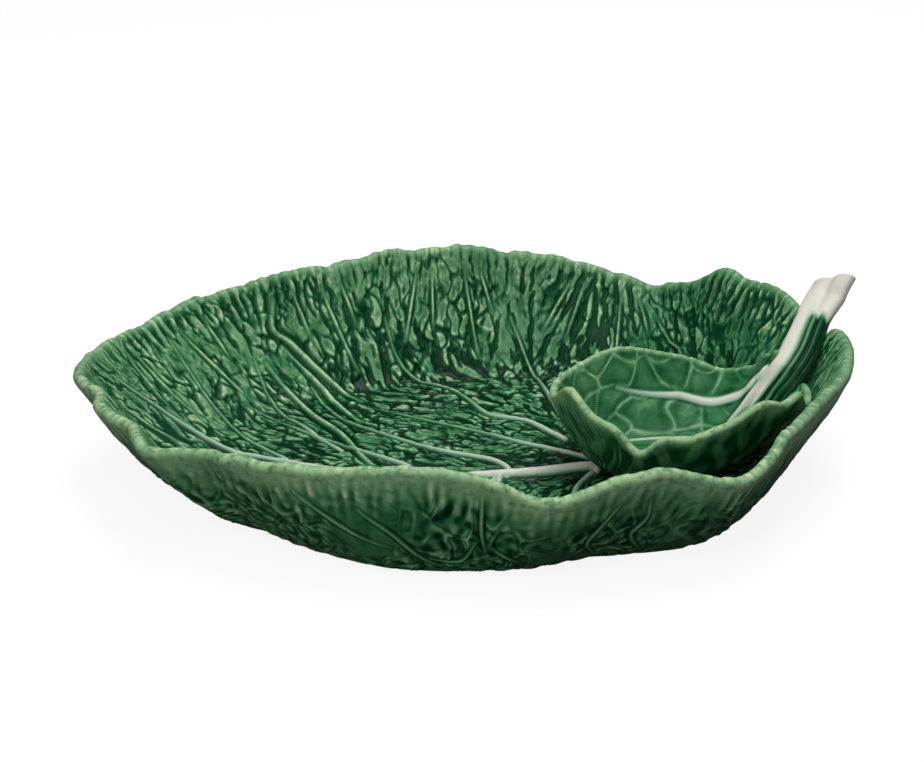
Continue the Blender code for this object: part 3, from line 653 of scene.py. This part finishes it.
def platter_outside(unrolled):
    """Short pleats below the lip, and soft swirls with thin zigzag veins lower down."""
    sheet = Sheet(unrolled.total.max() + MAP_MARGIN, MAP_PITCH)
    angle, share = unrolled.places(sheet)
    floor_share = unrolled.around(unrolled.floor_share, angle)
    below_lip = (1 - share) / (1 - floor_share)
    low = rising(below_lip, 0.05, 0.20 + 0.09 * np.tanh(sheet.clouds(11 * MM, seed=37)))
    veins = make_veins(unrolled, OUTER_VEINS, OUTER_FORM)
    ridge, calm, cream, shade = lay_veins(sheet, veins, groove=0.7)
    direction = angle + 0.5 * sheet.clouds(10 * MM, seed=12)
    dimples = np.tanh(sheet.streaks(15 * MM, direction, spread=0.7, seed=26))
    pleats = sheet.streaks(7 * MM, angle, spread=0.35, seed=27) * bell(below_lip, 0.25)
    patches = np.clip(0.55 + 0.45 * sheet.clouds(9 * MM, seed=34), 0.1, 1) * low
    edges, _ = cell_net(sheet, 15 * MM, 1.2 + 0 * angle, direction, wander=3.5 * MM, seed=36)
    loops = np.cos(tau * edges / (3.4 * MM)) * np.exp(-edges / (5 * MM))
    curls = np.tanh(1.5 * sheet.streaks(8 * MM, direction, spread=1.3, seed=35))
    swirls = (0.9 * loops + 0.6 * curls) * patches
    height = MM * (0.3 * dimples + 0.3 * pleats + 0.4 * swirls) * (1 - calm) + ridge
    height = height + 0.3 * MM * sheet.clouds(14 * MM, seed=33)
    # Painted light: the outside is lighter towards the front left
    painted_light_left = towards(angle, *LIT_FRONT_LEFT)
    glaze = 0.34 + 0.30 * low - 0.10 * painted_light_left - 0.07 * dimples + 0.50 * shade
    glaze = glaze - (0.36 * swirls + 0.10 * pleats) * (1 - calm)
    return Relief(sheet, height, glaze, cream)


# Veins of the dip leaf from its stalk: bearing in degrees and share of the rim's radius
DIP_VEINS = [
    [(26.5, 0.95), (31, 0.92), (35, 0.885), (44, 0.83), (58, 0.8), (81, 0.8), (96, 0.8), (130, 0.86)],
    [(30, 1), (31, 0.88), (33, 0.75), (38, 0.62), (43, 0.48), (115, 0.38), (154, 0.52), (170, 0.74)],
]


def dip_inside(unrolled):
    """Smooth bulging cells inside a net of thin veins, with two pale veins from the stalk."""
    sheet = Sheet(unrolled.total.max() + DIP_MAP_MARGIN, DIP_MAP_PITCH)
    ridge, calm, cream, _ = lay_veins(sheet, make_veins(unrolled, DIP_VEINS, DIP_FORM), groove=0.25)
    around = np.arctan2(sheet.y, sheet.x) + pi / 2
    edges, _ = cell_net(sheet, 19 * MM, 1.7 + 0 * around, around, wander=2.8 * MM, seed=41)
    minor, _ = cell_net(sheet, 8 * MM, 1.5 + 0 * around, around, wander=1.4 * MM, seed=45)
    net = bell(edges, width=0.6 * MM) * np.clip(0.7 + 0.35 * sheet.clouds(8 * MM, seed=46), 0.15, 1)
    threads = bell(minor, width=0.5 * MM) * np.clip(0.3 + 0.4 * sheet.clouds(7 * MM, seed=47), 0, 0.7)
    swell = 1 - np.exp(-edges / (4 * MM))
    height = MM * (0.8 * net + 0.25 * threads + 1.0 * swell) * (1 - calm) + ridge - 0.7 * MM
    mottle = sheet.clouds(3 * MM, seed=42)
    pool = bell(edges, width=1.2 * MM, place=2.2 * MM)
    glaze = 0.54 - 0.44 * net * (1 - calm) - 0.12 * threads + 0.13 * pool + 0.06 * mottle + 0.2 * calm
    return Relief(sheet, height, np.clip(glaze, 0, 1), cream)


def pooled(sheet, height, fine, near, far):
    """Glaze depth of a relief: thin on its crests and edges and deep in its hollows."""
    smooth = sheet.blur(height, fine)
    crest = smooth - sheet.blur(height, near)
    hollow = smooth - sheet.blur(height, far)
    return 0.5 - 0.5 * np.tanh(0.9 * crest / crest.std() + 0.5 * hollow / hollow.std())


def dip_outside(unrolled):
    """Soft dents, with fine pleats on the wall towards the platter's tip."""
    sheet = Sheet(unrolled.total.max() + DIP_MAP_MARGIN, DIP_MAP_PITCH)
    angle, _ = unrolled.places(sheet)
    direction = angle + 0.25 * sheet.clouds(8 * MM, seed=13)
    broad = np.tanh(sheet.streaks(15 * MM, direction, spread=0.8, seed=24))
    dents = 0.7 * broad + 0.5 * sheet.clouds(4 * MM, seed=25)
    pleats = sheet.streaks(3.6 * MM, direction, spread=0.3, seed=27)
    pleated = towards(angle, bearing=-165, spread=42)
    height = MM * (0.5 * dents + 0.3 * pleats * pleated)
    glaze = 0.60 + 0.36 * (pooled(sheet, height, fine=0.5 * MM, near=2.5 * MM, far=8 * MM) - 0.5)
    return Relief(sheet, height, glaze, np.zeros_like(height))


# Bake sheet: a leaf's inside, the strip of its rings and its underside's middle
SHEET_MARGIN = 0.01
SQUARE_SIZE = 0.64
STRIP_ENDS = (0.67, 0.985)
MIDDLE_SPOT = (0.85, 0.3)
MIDDLE_SIZE = 0.1
STALK_ENDS = (0.02, 0.98)


def sheet_corners(places):
    """Corners of a row of faces on the bake sheet."""
    return np.stack([np.stack([across, 0 * across + down], 1) for across, down in places], 1)


class MeshParts:
    """Rows of points with their attributes and faces, gathered into one mesh."""

    def __init__(self):
        self.points = []
        self.glaze = []
        self.cream = []
        self.faces = []
        self.corners = []
        self.count = 0

    def add(self, points, glaze, cream):
        """Add points and return their numbers."""
        self.points.append(points)
        self.glaze.append(glaze + 0 * points[:, 0])
        self.cream.append(cream + 0 * points[:, 0])
        first = self.count
        self.count += len(points)
        return np.arange(first, self.count)

    def face(self, numbers, corners):
        self.faces += numbers.tolist()
        self.corners.append(corners.reshape(-1, 2))

    def cap(self, numbers, corners):
        """Close a ring with one face."""
        self.faces.append(numbers.tolist())
        self.corners.append(corners)

    def square(self, numbers, start, size):
        """Fill a square grid of points, with its place on the bake sheet."""
        end = numbers.shape[0] - 1
        ticks = start + size * np.arange(end + 1) / end
        places = np.stack(np.meshgrid(ticks, ticks, indexing="ij"), -1)
        offsets = ((0, 0), (1, 0), (1, 1), (0, 1))
        cells = [numbers[i:end + i, j:end + j].ravel() for i, j in offsets]
        spots = [places[i:end + i, j:end + j].reshape(-1, 2) for i, j in offsets]
        self.face(np.stack(cells, 1), np.stack(spots, 1))

    def band(self, upper, lower, top, bottom):
        """Fill between two rings, the second with as many points or half as many."""
        count = len(upper)
        step = count // len(lower)
        turn = SHEET_MARGIN + (1 - 2 * SHEET_MARGIN) * np.arange(count + 1) / count
        first = np.arange(0, count, step)
        last = first + step - 1
        ends = (first + step) % count
        here = np.arange(len(lower))
        after = (here + 1) % len(lower)
        start = turn[first]
        end = turn[first + step]
        if step == 2:
            tip = np.stack([upper[last], upper[first], lower[here]], 1)
            self.face(tip, sheet_corners([(turn[last], top), (start, top), (start, bottom)]))
        quad = np.stack([upper[ends], upper[last], lower[here], lower[after]], 1)
        self.face(quad, sheet_corners([(end, top), (turn[last], top), (start, bottom), (end, bottom)]))

    def build(self, name, shift):
        mesh = bpy.data.meshes.new(name)
        mesh.from_pydata(np.vstack(self.points) + shift, [], self.faces)
        for label, values in (("glaze", self.glaze), ("cream", self.cream)):
            layer = mesh.attributes.new(label, "FLOAT", "POINT")
            layer.data.foreach_set("value", np.concatenate(values).astype(np.float32))
        sheet = mesh.uv_layers.new(name="OFBake")
        sheet.data.foreach_set("uv", np.vstack(self.corners).astype(np.float32).ravel())
        mesh.shade_smooth()
        obj = bpy.data.objects.new(name, mesh)
        bpy.context.collection.objects.link(obj)
        return obj


def disc_grid(count):
    """Even square grid drawn onto a disc: angle and share of the radius."""
    ticks = np.linspace(-1, 1, count)
    a, b = np.meshgrid(ticks, ticks, indexing="ij")
    wide = np.abs(a) > np.abs(b)
    safe_a = np.where(a == 0, 1, a)
    safe_b = np.where(b == 0, 1, b)
    share = np.where(wide, a, b)
    angle = np.where(wide, pi / 4 * b / safe_a, pi / 2 - pi / 4 * a / safe_b)
    angle = np.where(share < 0, angle + pi, angle)
    return angle % tau, np.abs(share)


# Small waves of the rims: numbers of cycles round the rim, and the height of each kind
RUFFLE_WAVES = [(range(30, 64, 4), 1.0), (range(90, 170, 13), 0.55)]
RUFFLE_HEIGHT = 0.28 * MM
RUFFLE_FRONT = 0.55


def ruffle(angle):
    """Small waves of the rim, all round and higher at the back."""
    rng = np.random.default_rng(51)
    total = 0 * angle
    for kind, height in RUFFLE_WAVES:
        for cycles in kind:
            total = total + height * np.cos(cycles * angle + rng.uniform(0, tau)) * rng.uniform(0.5, 1)
    return RUFFLE_HEIGHT * total * (RUFFLE_FRONT + (1 - RUFFLE_FRONT) * np.clip(np.sin(angle), 0, 1))


def pleating(angle):
    """How far the pleats of the wall run over the lip: fully at the back, and hardly at the front."""
    back = np.clip(2 * np.sin(angle) - 0.2, 0, 1)
    return 0.35 + 0.65 * back ** 2 * (3 - 2 * back)


def border(numbers):
    """Numbers round the edge of a square grid."""
    return np.concatenate([numbers[:-1, 0], numbers[-1, :-1], numbers[:0:-1, -1], numbers[0, :0:-1]])


# Share of the inside's relief that runs onto the lip, and glaze of the underside
LIP_RELIEF = 0.4
UNDERSIDE_GLAZE = 0.55


@dataclass
class LeafLook:
    """A leaf with the relief of its skins, its lip's glaze and the strength of its rim's small waves."""

    leaf: Leaf
    unrolled: Unrolled
    inside: Relief
    outside: Relief
    lip_glaze: float
    teeth: float

    def waves(self, angle, share, start):
        """Lift of the rim's small waves, from a start on the way to the lip."""
        return np.outer(self.teeth * ruffle(angle) * rising(share, start, 1 - start) ** 2, UP)


def inside_skin(look, angle, share, cover=0.6):
    """Points, glaze and cream of the inside."""
    height, glaze, cream = look.inside.at(*look.unrolled.flat(angle, share))
    points, normals = look.leaf.skin(angle, look.unrolled.radius(angle, share), 0)
    near_lip = rising(share, start=0.98, run=0.02)
    glaze = glaze * (1 - cover * near_lip) + look.lip_glaze * cover * near_lip
    height = height * (1 - (1 - LIP_RELIEF * look.teeth * pleating(angle)) * near_lip)
    return points + normals * height[:, None] + look.waves(angle, share, start=0.9), glaze, cream


def lip_rings(look, turn, fading=0.75, pooling=0.35, crown=0.6, extra=0.12):
    """Rings over the rounded lip, where the inside's pleats die out."""
    edge_height, edge_glaze, edge_cream = look.inside.at(*look.unrolled.flat(turn, 1.0))
    # Glaze deeper on the pleated lip, and painted shade of the dip leaf on the lip near the stalk's end
    pooled_and_shaded = extra * pleating(turn) + extra * towards(turn, *DIP_LEAF_SHADE)
    rings = []
    for roll in np.linspace(0, pi, LIP_RINGS + 1)[1:]:
        points, normals = look.leaf.lip(turn, roll)
        fade = LIP_RELIEF * look.teeth * pleating(turn) * (1 - fading * roll / pi)
        points = points + normals * (edge_height * fade)[:, None] + look.waves(turn, 1.0, start=0.9)
        pool = pooling * (edge_glaze - 0.5) * np.cos(roll / 2) ** 2
        plain = look.lip_glaze * (1 - crown * np.sin(roll)) + look.teeth * pooled_and_shaded
        rings.append((points, plain + pool, edge_cream))
    return rings


def wall_rings(look, turn, relief=0.1):
    """Rings down the outer wall, from below the lip to the base."""
    edge_height = look.inside.at(*look.unrolled.flat(turn, 1.0))[0]
    base = look.leaf.base_radius(turn)
    rim = look.leaf.rim_radius(turn)
    floor_share = look.unrolled.around(look.unrolled.floor_share, turn)
    rings = []
    for share in np.linspace(1, 0, WALL_RINGS + 1)[1:]:
        spread_share = floor_share + (1 - floor_share) * share
        height, glaze, cream = look.outside.at(*look.unrolled.flat(turn, spread_share))
        from_lip = rising(1 - share, start=0, run=0.12)
        from_base = rising(share, start=0, run=0.15)
        height = height * from_lip * from_base + relief * look.teeth * edge_height * (1 - from_lip)
        points, normals = look.leaf.skin(turn, base + (rim - base) * share, pi)
        points = points + normals * height[:, None] + look.waves(turn, share, start=0.75)
        rings.append((points, glaze * from_lip + look.lip_glaze * (1 - from_lip), cream))
    return rings


def leaf_mesh(name, look, grid, shift):
    """Closed leaf: a grid inside, then rings over the lip, down the wall and underneath."""
    parts = MeshParts()
    angle, share = disc_grid(grid)
    numbers = parts.add(*inside_skin(look, angle.ravel(), share.ravel())).reshape(grid, grid)
    parts.square(numbers, SHEET_MARGIN, SQUARE_SIZE)
    turn = border(angle)
    rings = lip_rings(look, turn) + wall_rings(look, turn)
    for step in range(UNDERSIDE_RINGS):
        turn = turn[::2]
        radius = look.leaf.base_radius(turn) * (1 - (step + 1) / (UNDERSIDE_RINGS + 1))
        rings.append((look.leaf.skin(turn, radius, pi)[0], UNDERSIDE_GLAZE, 0.0))
    strip = np.linspace(*STRIP_ENDS, len(rings) + 1)
    previous = border(numbers)
    for (points, glaze, cream), top, bottom in zip(rings, strip, strip[1:]):
        numbers = parts.add(points, glaze, cream)
        parts.band(previous, numbers, top, bottom)
        previous = numbers
    disc = np.stack([np.cos(turn), np.sin(turn)], -1)
    parts.cap(previous[::-1], np.array(MIDDLE_SPOT) + MIDDLE_SIZE * disc)
    return parts.build(name, shift)


# Stalk: widths and thicknesses in millimetres at shares of its length
STALK_STATIONS = 150
STALK_SIDES = 96
STALK_WIDTH = ([0, 1 / 3, 2 / 3, 1], [25, 22, 18, 26])
STALK_THICKNESS = ([0, 0.12, 1 / 3], [0.5, 3, 9])

# Cream ridge down the stalk's sheath: its right and left edges at shares of the length
RIDGE_RIGHT = ([0, 0.35, 1], [-0.5, -0.2, -0.2])
RIDGE_LEFT = ([0, 0.15], [-0.8, -1.3])


def stalk_axes(share, turn=16, slant=0.3):
    """Underside line of the stalk, and its sideways and upward directions."""
    line = catmull(np.array(STALK_LINE) * MM, len(share))
    forward = np.gradient(line, axis=0)
    forward /= np.linalg.norm(forward, axis=1)[:, None]
    level_side = np.stack([forward[:, 1], -forward[:, 0], 0 * share], -1)
    level_side /= np.linalg.norm(level_side, axis=1)[:, None]
    level_up = np.cross(level_side, forward)
    tipward = np.clip(3 * share - 2, 0, 1)[:, None] ** 2
    twist = radians(turn) * tipward
    side = level_side * np.cos(twist) + level_up * np.sin(twist) + forward * slant * tipward
    return line, side, level_up * np.cos(twist) - level_side * np.sin(twist)


def bulged(value, power=0.75):
    """Fuller curve than a circle's, from -1 to 1."""
    return np.sign(value) * np.abs(value) ** power


def soft_step(value, run=0.25):
    """Rise from 0 to 1 round a value of 0."""
    return np.clip(value / run + 0.5, 0, 1)


def stalk_mesh(name, shift):
    """Channelled stalk: cream at its cut tip, with a cream ridge and green ribs down its root."""
    shares = np.linspace(0, 1, STALK_STATIONS)
    line, side, up = stalk_axes(shares)
    width = np.interp(shares, *STALK_WIDTH) * MM
    thickness = np.interp(shares, *STALK_THICKNESS) * MM
    angle = np.arange(STALK_SIDES) * tau / STALK_SIDES
    rounded = bulged(np.cos(angle))
    lift = 0.5 + 0.5 * bulged(np.sin(angle))
    upper = np.clip(np.sin(angle), 0, 1)
    channel = 0.20 * bell(rounded, width=0.25, place=0.05) * (upper > 0)
    fringe = FRINGE + 0.012 * np.cos(11 * rounded) + 0.006 * np.cos(23 * rounded + 1)
    parts = MeshParts()
    rings = []
    for i, share in enumerate(shares):
        sheath = rising(fringe, start=share, run=0.06)
        ribs = np.interp(rounded, SHEATH_PLACES, SHEATH_LIFT) * upper * sheath
        across = rounded * width[i] / 2
        above = (lift - channel * (1 - 0.6 * sheath) + ribs) * thickness[i]
        points = line[i] + np.outer(across, side[i]) + np.outer(above, up[i])
        right = np.interp(share, *RIDGE_RIGHT)
        left = np.interp(share, *RIDGE_LEFT)
        ridge = soft_step(right - rounded) * soft_step(rounded - left)
        cream = 1 - sheath * (1 - ridge * (upper > 0))
        glaze = 0.78 - 4.0 * ribs
        rings.append(parts.add(points, glaze, cream))
    rows = np.linspace(*STALK_ENDS, STALK_STATIONS)
    for ring, following, top, bottom in zip(rings, rings[1:], rows, rows[1:]):
        parts.band(ring, following, top, bottom)
    for ring in (rings[0], rings[-1][::-1]):
        parts.cap(ring, np.full((STALK_SIDES, 2), 0.5))
    return parts.build(name, shift)


# Glaze colours, from thin to pooled
GLAZE_STOPS = [
    (0, (0.38, 0.51, 0.28)),
    (0.22, (0.15, 0.3, 0.152)),
    (0.5, (0.039, 0.154, 0.061)),
    (0.75, (0.006, 0.068, 0.024)),
    (1, (0, 0.015, 0.005)),
]
# Green of the slip seams, whose depth varies only a little
SLIP_STOPS = [(0, (0.1, 0.25, 0.12)), (0.2, (0.03, 0.13, 0.05))]
CLAY_STOPS = [(0.3, (0.62, 0.53, 0.42)), (0.7, (0.76, 0.68, 0.57))]
CREAM = (0.56, 0.54, 0.48, 1)
TEAL = (0.26, 0.44, 0.3, 1)
GLAZE_SPECULAR = 0.09

# Specks of deeper glaze where it is thinner than a limit
SPECK_STRENGTH = 3
THIN_LIMIT = 0.48


def fill(tree, made, inputs):
    """Set a node's inputs to numbers and colours, or link them to other nodes."""
    for name, value in inputs.items():
        if isinstance(value, bpy.types.NodeSocket):
            tree.links.new(value, made.inputs[name])
        else:
            made.inputs[name].default_value = value


def node(tree, kind, inputs=None, **settings):
    made = tree.nodes.new(kind)
    for name, value in settings.items():
        setattr(made, name, value)
    fill(tree, made, inputs or {})
    return made


def attribute(tree, name):
    return node(tree, "ShaderNodeAttribute", attribute_name=name).outputs["Fac"]


def noise(tree, scale, detail):
    place = node(tree, "ShaderNodeTexCoord").outputs["Object"]
    inputs = {"Vector": place, "Scale": scale, "Detail": detail}
    return node(tree, "ShaderNodeTexNoise", inputs).outputs["Fac"]


def ramp(tree, value, stops):
    made = node(tree, "ShaderNodeValToRGB", {"Fac": value})
    elements = made.color_ramp.elements
    while len(elements) < len(stops):
        elements.new(0.5)
    for element, (place, colour) in zip(elements, stops):
        element.position = place
        element.color = (*colour, 1.0)
    return made.outputs["Color"]


def math(tree, operation, first, second):
    return node(tree, "ShaderNodeMath", {0: first, 1: second}, operation=operation).outputs[0]


def excess(tree, value, level):
    """How far a value lies over a level."""
    return math(tree, "MAXIMUM", math(tree, "SUBTRACT", value, level), 0.0)


def wobble(tree, scale, detail, strength):
    """Noise about zero."""
    return math(tree, "MULTIPLY", math(tree, "SUBTRACT", noise(tree, scale, detail), 0.5), strength)


def mix(tree, factor, first, second):
    """Colour from the first to the second."""
    inputs = {0: factor, 6: first, 7: second}
    return node(tree, "ShaderNodeMix", inputs, data_type="RGBA").outputs[2]


def principled(name):
    material = bpy.data.materials.new(name)
    material.use_nodes = True
    return material, material.node_tree, material.node_tree.nodes["Principled BSDF"]


def roughen(tree, shader, scale, detail, strength, depth):
    """Fine unevenness of a surface."""
    inputs = {"Strength": strength, "Distance": depth, "Height": noise(tree, scale, detail)}
    bump = node(tree, "ShaderNodeBump", inputs)
    fill(tree, shader, {"Normal": bump.outputs["Normal"]})


def glaze_material(name, stops=GLAZE_STOPS, roughness=0.20):
    """Glossy translucent glaze, coloured by how deep it lies, over cream clay."""
    material, tree, shader = principled(name)
    plain = attribute(tree, "glaze")
    peaks = excess(tree, noise(tree, scale=300, detail=1), level=0.52)
    specks = math(tree, "MULTIPLY", peaks, SPECK_STRENGTH)
    specks = math(tree, "MULTIPLY", specks, excess(tree, THIN_LIMIT, plain))
    speckle = math(tree, "ADD", wobble(tree, scale=260, detail=3, strength=0.16), specks)
    drift = wobble(tree, scale=28, detail=2, strength=0.28)
    depth = math(tree, "ADD", plain, math(tree, "ADD", speckle, drift))
    cream = math(tree, "MULTIPLY", attribute(tree, "cream"), 2.0)
    fringe = mix(tree, math(tree, "MINIMUM", cream, 1.0), ramp(tree, depth, stops), TEAL)
    colour = mix(tree, excess(tree, cream, 1.0), fringe, CREAM)
    spread = math(tree, "MULTIPLY", noise(tree, scale=120, detail=2), 0.10)
    fill(tree, shader, {"Base Color": colour, "Roughness": math(tree, "ADD", spread, roughness)})
    shader.inputs["Specular IOR Level"].default_value = GLAZE_SPECULAR
    roughen(tree, shader, scale=420, detail=2, strength=0.12, depth=0.4 * MM)
    return material


def clay_material():
    material, tree, shader = principled("bare_clay")
    colour = ramp(tree, noise(tree, scale=180, detail=6), CLAY_STOPS)
    fill(tree, shader, {"Base Color": colour, "Roughness": 0.85})
    roughen(tree, shader, scale=900, detail=4, strength=0.3, depth=0.3 * MM)
    return material


def dress(obj, material, slot, *nodes):
    obj.data.materials.append(material)
    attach(obj, "root")
    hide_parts(*nodes)


def paint_node(name, material):
    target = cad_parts[name]
    target.data.materials.clear()
    target.data.materials.append(material)


# Brightness of the floor and the world: to the camera, mirrored and as light
WHITE = (1, 1, 1, 1)
GREY = (0.15, 0.15, 0.15, 1)
FLOOR_SEEN = 0.89
WORLD_LIGHT = 0.12
WORLD_SEEN = 0.88
WORLD_MIRRORED = 0.05

# Area lights: name, place, aim, size in metres and power in watts
LIGHTS = [
    ("key", (0.2, 0.15, 1.5), (0, 0, 0.03), (1.0, 1.0), 21),
    ("top", (-0.2, -1.0, 1.25), (0, 0.1, 0.03), (1.2, 0.7), 5),
    ("fill", (-0.4, -1.3, 0.75), (0, 0, 0.03), (1.2, 0.8), 10),
]

# Photograph in pixels, and the camera fitted to it
PHOTO_SIZE = (924, 762)
PHOTO_AIM = (465, 482)
PIXELS_PER_METRE = 1957
CAMERA_DISTANCE = 1.7
CAMERA_ELEVATION = radians(22)


def build_floor():
    """Pale floor that the camera sees as white, with the platter's soft shadow."""
    bpy.ops.mesh.primitive_plane_add(size=8, location=(0, 0, 0))
    floor = bpy.context.object
    floor.name = "floor"
    material, tree, shader = principled("floor")
    rays = node(tree, "ShaderNodeLightPath")
    seen = math(tree, "MULTIPLY", rays.outputs["Is Camera Ray"], FLOOR_SEEN)
    fill(tree, shader, {"Base Color": GREY, "Roughness": 0.9, "Specular IOR Level": 0.0})
    fill(tree, shader, {"Emission Color": WHITE, "Emission Strength": seen})
    floor.data.materials.append(material)


def build_world():
    world = bpy.data.worlds.new("studio")
    bpy.context.scene.world = world
    world.use_nodes = True
    tree = world.node_tree
    rays = node(tree, "ShaderNodeLightPath")
    seen = math(tree, "MULTIPLY", rays.outputs["Is Camera Ray"], WORLD_SEEN)
    mirrored = math(tree, "MULTIPLY", rays.outputs["Is Glossy Ray"], WORLD_MIRRORED)
    strength = math(tree, "ADD", math(tree, "ADD", seen, mirrored), WORLD_LIGHT)
    fill(tree, tree.nodes["Background"], {"Color": WHITE, "Strength": strength})


def soft_light(name, place, aim, size, power):
    data = bpy.data.lights.new(name, "AREA")
    data.shape = "RECTANGLE"
    data.size, data.size_y = size
    data.energy = power
    lamp = bpy.data.objects.new(name, data)
    lamp.location = place
    away = np.array(place) - np.array(aim)
    flat = np.hypot(away[0], away[1])
    lamp.rotation_euler = (np.arctan2(flat, away[2]), 0, np.arctan2(away[0], -away[1]))
    bpy.context.collection.objects.link(lamp)


def build_camera(shift):
    """Camera at the photograph's angle."""
    focal_pixels = PIXELS_PER_METRE * CAMERA_DISTANCE
    left_pixels = PHOTO_AIM[0] - PHOTO_SIZE[0] / 2
    up_pixels = PHOTO_AIM[1] - PHOTO_SIZE[1] / 2
    data = bpy.data.cameras.new("camera")
    data.sensor_width = 36
    data.lens = focal_pixels * data.sensor_width / PHOTO_SIZE[0]
    camera = bpy.data.objects.new("camera", data)
    back = CAMERA_DISTANCE * np.cos(CAMERA_ELEVATION)
    camera.location = (shift[0], shift[1] - back, CAMERA_DISTANCE * np.sin(CAMERA_ELEVATION))
    tilt = pi / 2 - CAMERA_ELEVATION + np.arctan(up_pixels / focal_pixels)
    camera.rotation_euler = (tilt, 0, left_pixels / focal_pixels)
    bpy.context.collection.objects.link(camera)
    bpy.context.scene.camera = camera


def frame_shift():
    """Offset from the source's own coordinates to the frame."""
    turn = np.linspace(0, tau, 2 * TABLE_TURNS + 1)
    corners = np.vstack([platter.lip(turn, roll)[0] for roll in np.linspace(0, pi, LIP_RINGS + 1)])
    middle = (corners.min(0) + corners.max(0)) / 2
    low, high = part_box("platter_leaf")
    shift = (np.array(low) + np.array(high)) / 2 - middle
    return np.array([shift[0], shift[1], 0.0])


def build():
    shift = frame_shift()
    build_camera(shift)
    glaze = glaze_material("green_glaze")
    dip_glaze = glaze_material("dip_leaf_glaze")
    cream_glaze = glaze_material("cream_glaze", roughness=0.30)
    slip = glaze_material("green_slip", stops=SLIP_STOPS)

    spread = Unrolled(platter)
    skins = (platter_inside(spread), platter_outside(spread))
    look = LeafLook(platter, spread, *skins, lip_glaze=0.17, teeth=1.0)
    body = leaf_mesh("platter_leaf_glazed", look, PLATTER_GRID, shift)
    dress(body, glaze, "green_glaze", "platter_leaf")
    spread = Unrolled(dip)
    skins = (dip_inside(spread), dip_outside(spread))
    look = LeafLook(dip, spread, *skins, lip_glaze=0.20, teeth=0.25)
    leaf = leaf_mesh("dip_leaf_glazed", look, DIP_GRID, shift)
    dress(leaf, dip_glaze, "dip_leaf_glaze", "dip_leaf")
    dress(stalk_mesh("stalk_glazed", shift), cream_glaze, "cream_glaze", "stalk")
    paint_node("platter_foot_ring", clay_material())
    paint_node("dip_foot_ring", slip)
    paint_node("stalk_saddle", slip)

    build_floor()
    build_world()
    for light in LIGHTS:
        soft_light(*light)
    bpy.context.scene.view_settings.view_transform = "Standard"


build()
